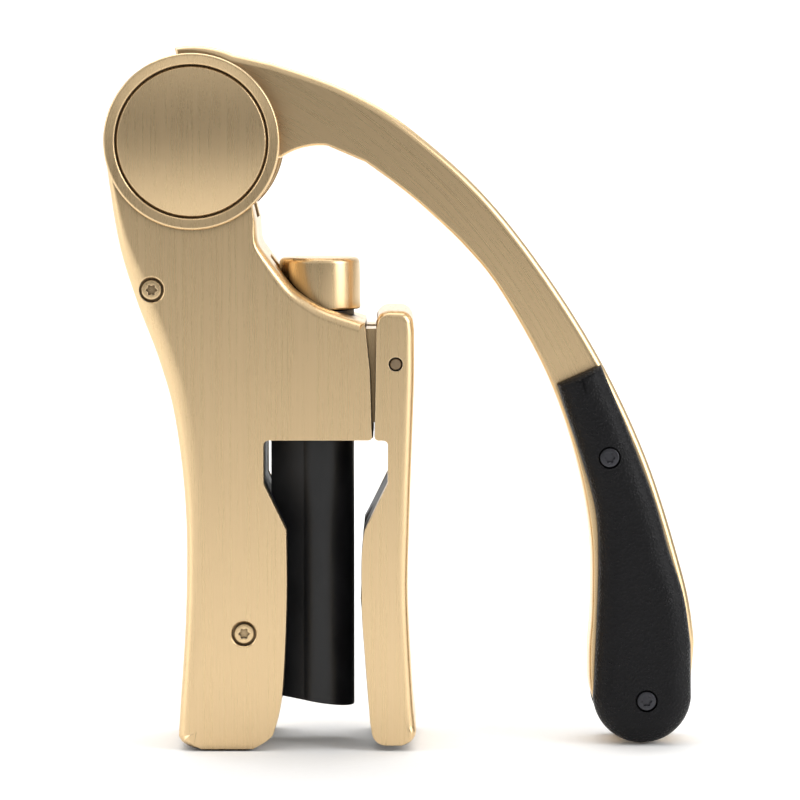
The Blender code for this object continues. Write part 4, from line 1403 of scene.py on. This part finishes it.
@dataclass
class ClampJaw:
    """Hinged jaw with a fork at the top for the body's tongue."""
    shop: Workshop
    window_top: float = 80.2
    pin_radius: float = 1.55
    pin_half: float = 19.7       # half of the hinge pin's length
    edge: Edge = Edge(3.0, 2.7, 10)
    plate: float = 3.0
    back: float = 20.6           # X of the room behind the liner
    outer: list[Point] = field(default_factory=lambda: [
        (24.7, 108.4), (24.7, 96.0), (24.2, 80.5), (23.5, 59.8), (23.1, 39.1), (24.4, 13.1),
        (25.2, 5.2)])
    inner: list[Point] = field(default_factory=lambda: [
        (11.8, 57.2), (11.0, 39.1), (11.8, 24.8), (13.2, 7.0)])

    def runs(self) -> list[Run]:
        """Jaw seen from the front: soft on its outside, sharp beside the window.

        Returns:
            The runs of its closed outline.
        """
        top = self.window_top
        return [
            Run(arc((18.4, 110.2), 3.6, 170, 90, 10), 0.25, 0.6),
            Run(arc((20.9, 110.2), 3.6, 75, 0, 9), 0.65, 0.9),
            Run(flowing(self.outer, 6), 0.9, 0.9),
            Run(arc((21.4, 4.8), 3.8, 0, -90, 12), 0.7, SHARP),
            Run(arc((17.4, 4.8), 3.8, -90, -180, 12), SHARP, SHARP),
            Run(flowing([*self.inner[::-1], (17.8, top - 10.8)], 6)[:-5], SHARP, SHARP),
            Run([(17.8, top - 10.8)], SHARP, SHARP),
            Run(arc((16.6, top - 1.2), 1.2, 0, 90, 6), SHARP, SHARP),
            Run(arc((15.4, top + 1.0), 1.0, 270, 180, 6), SHARP, SHARP),
            Run([(14.9, 109.0)], SHARP, SHARP)]

    def liner_edge(self) -> list[Point]:
        """Edge of the liner, a hair past the jaw's own along its straight part."""
        upper, lower = self.inner[:2], self.inner[2:]
        return ([(17.8 + CLEARANCE, self.window_top - 10.8)] + [(x - 0.2, z) for x, z in upper]
                + [(x + CLEARANCE, z) for x, z in lower])

    def build(self) -> None:
        """Make the jaw and its pin in place of their nodes."""
        places = self.shop.places
        half = places.half_depth
        jaw = Blank().draw_runs(self.runs(), -half, half, self.edge, self.edge)
        low, depth, top = self.window_top + 4, half - self.plate, self.window_top - 1.5
        fork = [(8.0, low), (23.2, low), (23.2, 111.9), (8.0, 111.9)]
        room = [(8.0, -5.0), (self.back, -5.0), (self.back, top), (8.0, top)]
        tools = [
            ("DIFFERENCE", Blank().draw_out(fork, -depth, depth)),
            ("DIFFERENCE", Blank().draw_out(room, -depth, depth)),
            ("DIFFERENCE", Blank().turn(plain_hole(self.pin_radius + CLEARANCE, -half - 2,
                                                   half + 2), places.hinge, sides=48)),
        ]
        self.shop.fit("clamp", jaw, GOLD_UPRIGHT, "jaw", ("clamp_jaw",), tools)
        pin = rounded_rod(self.pin_radius, -self.pin_half, self.pin_half, 0.5)
        self.shop.fit("hinge_pin", Blank().turn(pin, places.hinge, sides=48),
                      TurnedMetal("pitted_bronze", "bright_steel", BRONZE_COLOUR,
                                  places.world(places.hinge), roughness=0.42, depth=0.03),
                      "body", ("jaw_pin",))


@dataclass
class ClosingSpring:
    """Torsion spring round the hinge pin; its legs push the jaw shut."""
    shop: Workshop
    radius: float = 2.35
    wire: float = 0.45
    half: float = 3.4
    turns: float = 4.25
    upper_leg: float = 9.0
    lower_leg: float = 4.9

    def build(self) -> None:
        """Make the spring in place of its node."""
        path = [Vector((self.radius, self.half, self.upper_leg * (1 - i / 6))) for i in range(6)]
        steps = int(self.turns * 40)
        for i in range(steps + 1):
            angle = -2 * math.pi * self.turns * i / steps
            path.append(Vector((self.radius * math.cos(angle), self.half * (1 - 2 * i / steps),
                                self.radius * math.sin(angle))))
        path += [Vector((-self.lower_leg * i / 4, -self.half, -self.radius)) for i in (1, 2, 3, 4)]
        hinge = self.shop.places.hinge
        pin = Vector((hinge[0], 0, hinge[1]))
        self.shop.fit("closing_spring", Blank().bend([pin + p for p in path],
                                                     [self.wire] * len(path), 10),
                      self.shop.machined("jaw_spring"), "jaw", ("jaw_spring",))


@dataclass
class HiddenWorks:
    """Gears, axles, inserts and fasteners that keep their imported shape."""
    shop: Workshop

    def build(self) -> None:
        """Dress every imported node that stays."""
        shop = self.shop
        for node in ("lever_axle", "hub_spacer_front", "hub_spacer_back", "idler_axle",
                     "pinion_axle", "gear_rivet_1", "gear_rivet_2", "drive_gear", "pinion_gear"):
            shop.dress(node, shop.machined(node))
        shop.dress("rack", shop.machined("rack", Along.HEIGHT))
        for node in ("body_insert_upper", "body_insert_lower", "grip_nut_upper",
                     "grip_nut_lower", "idler_gear"):
            shop.dress(node, shop.brass(node))
        for node in ("worm_carrier", "worm_nut"):
            shop.dress(node, shop.brass(node, Along.HEIGHT))
        for node in ("worm_collar", "rack_screw_1", "rack_screw_2"):
            shop.dress(node, shop.blackened(node, Along.HEIGHT))
        shop.dress("tube_guide", TUBE_BLACK)


# ---------------------------------------------------------------- studio

@dataclass(frozen=True)
class Softbox:
    """Rectangular studio lamp that looks at the tool."""
    name: str
    place: tuple[float, float, float]
    size: tuple[float, float]
    power: float
    aim: tuple[float, float, float] = (0.0, 0.0, 0.09)

    def build(self) -> None:
        """Hang the lamp."""
        data = bpy.data.lights.new(self.name, "AREA")
        data.shape = "RECTANGLE"
        data.size, data.size_y = self.size
        data.energy = self.power
        lamp = bpy.data.objects.new(self.name, data)
        lamp.location = self.place
        ahead = Vector(self.aim) - Vector(self.place)
        lamp.rotation_euler = ahead.to_track_quat("-Z", "Y").to_euler()
        bpy.context.scene.collection.objects.link(lamp)


@dataclass
class Studio:
    """Pale sweep, soft light and the camera."""
    distance: float = 1.003
    elevation: float = 4.4       # degrees above the horizon
    aim: tuple[float, float, float] = (-0.00058, 0.0, 0.0893)
    lens: float = 172.1
    sensor: float = 36.0
    floor_drop: float = 0.0004   # sweep below the base, so that the two never touch
    floor_front: float = -2.0
    floor_back: float = 1.6      # where the sweep starts to rise
    bend: float = 0.9            # radius of its rise
    wall_top: float = 3.2
    floor_half: float = 3.5      # half of its width
    paper: tuple[Colour, Colour] = ((0.93, 0.93, 0.925), (0.95, 0.95, 0.945))
    levels: tuple[Point, ...] = (    # place from straight down to straight up, and brightness
        (0.0, 0.15), (0.49, 0.12), (0.50, 0.06), (0.545, 0.08), (0.60, 0.66), (1.0, 0.70))
    lamps: tuple[Softbox, ...] = (
        Softbox("top_box", (0.0, 0.3, 1.5), (1.6, 1.6), 10.5),
        Softbox("left_box", (-1.3, -0.25, 0.5), (0.5, 1.2), 5.0),
        Softbox("right_box", (1.15, -0.6, 0.6), (0.7, 1.1), 9.0),
        Softbox("back_box", (0.0, 0.9, 1.9), (2.6, 0.7), 34.0, (0.0, 2.4, 0.4)))

    def sweep(self) -> None:
        """Floor that curves up into a backdrop behind the tool."""
        rise = arc((self.floor_back, self.bend), self.bend, -90, 0, 24)
        profile = [(self.floor_front, 0.0), *rise, (self.floor_back + self.bend, self.wall_top)]
        bm = bmesh.new()
        rows = [[bm.verts.new((x, y, z - self.floor_drop))
                 for x in (-self.floor_half, self.floor_half)] for y, z in profile]
        for near, far in zip(rows, rows[1:]):
            bm.faces.new((near[0], near[1], far[1], far[0]))
        mesh = bpy.data.meshes.new("sweep")
        bm.to_mesh(mesh)
        bm.free()
        mesh.shade_smooth()
        sweep = bpy.data.objects.new("sweep", mesh)
        sheet = NodeSheet("pale_paper")
        fibre = sheet.noise(sheet.spread((1.5, 1.5, 1.5)), detail=3.0)
        sheet.feed(sheet.shader.inputs["Base Color"],
                   sheet.blend(sheet.remap(fibre, 0.3, 0.7, 0.0, 1.0), *self.paper))
        sheet.shader.inputs["Roughness"].default_value = 0.9
        mesh.materials.append(sheet.material)
        bpy.context.scene.collection.objects.link(sweep)

    def sky(self) -> None:
        """Room light: bright above, dimmer round the horizon."""
        world = bpy.data.worlds.new("room")
        world.use_nodes = True
        nodes, links = world.node_tree.nodes, world.node_tree.links
        coordinates = nodes.new("ShaderNodeTexCoord")
        split = nodes.new("ShaderNodeSeparateXYZ")
        ramp = nodes.new("ShaderNodeValToRGB")
        while len(ramp.color_ramp.elements) < len(self.levels):
            ramp.color_ramp.elements.new(0.5)
        for element, (place, level) in zip(ramp.color_ramp.elements, self.levels):
            element.position = place
            element.color = (level, level, level, 1.0)
        half = nodes.new("ShaderNodeMapRange")
        half.inputs["From Min"].default_value = -1.0
        links.new(coordinates.outputs["Generated"], split.inputs[0])
        links.new(split.outputs["Z"], half.inputs["Value"])
        links.new(half.outputs["Result"], ramp.inputs["Fac"])
        links.new(ramp.outputs["Color"], nodes["Background"].inputs["Color"])
        nodes["Background"].inputs["Strength"].default_value = 1.0
        bpy.context.scene.world = world

    def camera(self) -> None:
        """Camera in front of the tool, a little above it."""
        data = bpy.data.cameras.new("camera")
        data.lens, data.sensor_width = self.lens, self.sensor
        data.clip_start, data.clip_end = 0.05, 20.0
        camera = bpy.data.objects.new("camera", data)
        tilt = math.radians(self.elevation)
        back = Vector((0.0, -math.cos(tilt), math.sin(tilt)))
        camera.location = Vector(self.aim) + back * self.distance
        camera.rotation_euler = (-back).to_track_quat("-Z", "Y").to_euler()
        bpy.context.scene.collection.objects.link(camera)
        bpy.context.scene.camera = camera

    def build(self) -> None:
        """Set the stage, the lamps and the camera."""
        self.sweep()
        self.sky()
        for lamp in self.lamps:
            lamp.build()
        self.camera()
        bpy.context.scene.view_settings.view_transform = "Standard"


def main() -> None:
    """Build the pieces in order and report each one."""
    logging.basicConfig(level=logging.INFO, format="%(message)s")
    places = Places.read()
    shop = Workshop(places)
    shells = Shells(shop)
    trim = HeadTrim(shop)
    cover = GripCover(shop)
    for side in Side:
        shells.build(side)
        trim.build(side)
        cover.build(side)
    for level in ("upper", "lower"):
        SocketScrew(shop, "case_screw_" + level, "body_screw_" + level, "body",
                    GOLD_SCREW, head_radius=2.6, length=32.0).build()
        SocketScrew(shop, "handle_screw_" + level, "grip_screw_" + level, "lever",
                    shop.blackened("grip_screw_" + level), head_radius=2.55, length=23.0).build()
    jaw = ClampJaw(shop)
    lining = Lining(shop)
    lining.build("body_lining", "fixed_jaw_pad", "body", lining.body_back,
                 [(x - CLEARANCE, z) for x, z in shells.jaw[:5]], lining.body_high)
    lining.build("jaw_lining", "clamp_jaw_pad", "jaw", lining.jaw_back, jaw.liner_edge(),
                 lining.jaw_high)
    LeverArm(shop).build()
    Sleeve(shop).build()
    WormCoil(shop).build()
    jaw.build()
    ClosingSpring(shop).build()
    HiddenWorks(shop).build()
    Studio().build()


if __name__ == "__main__":
    main()
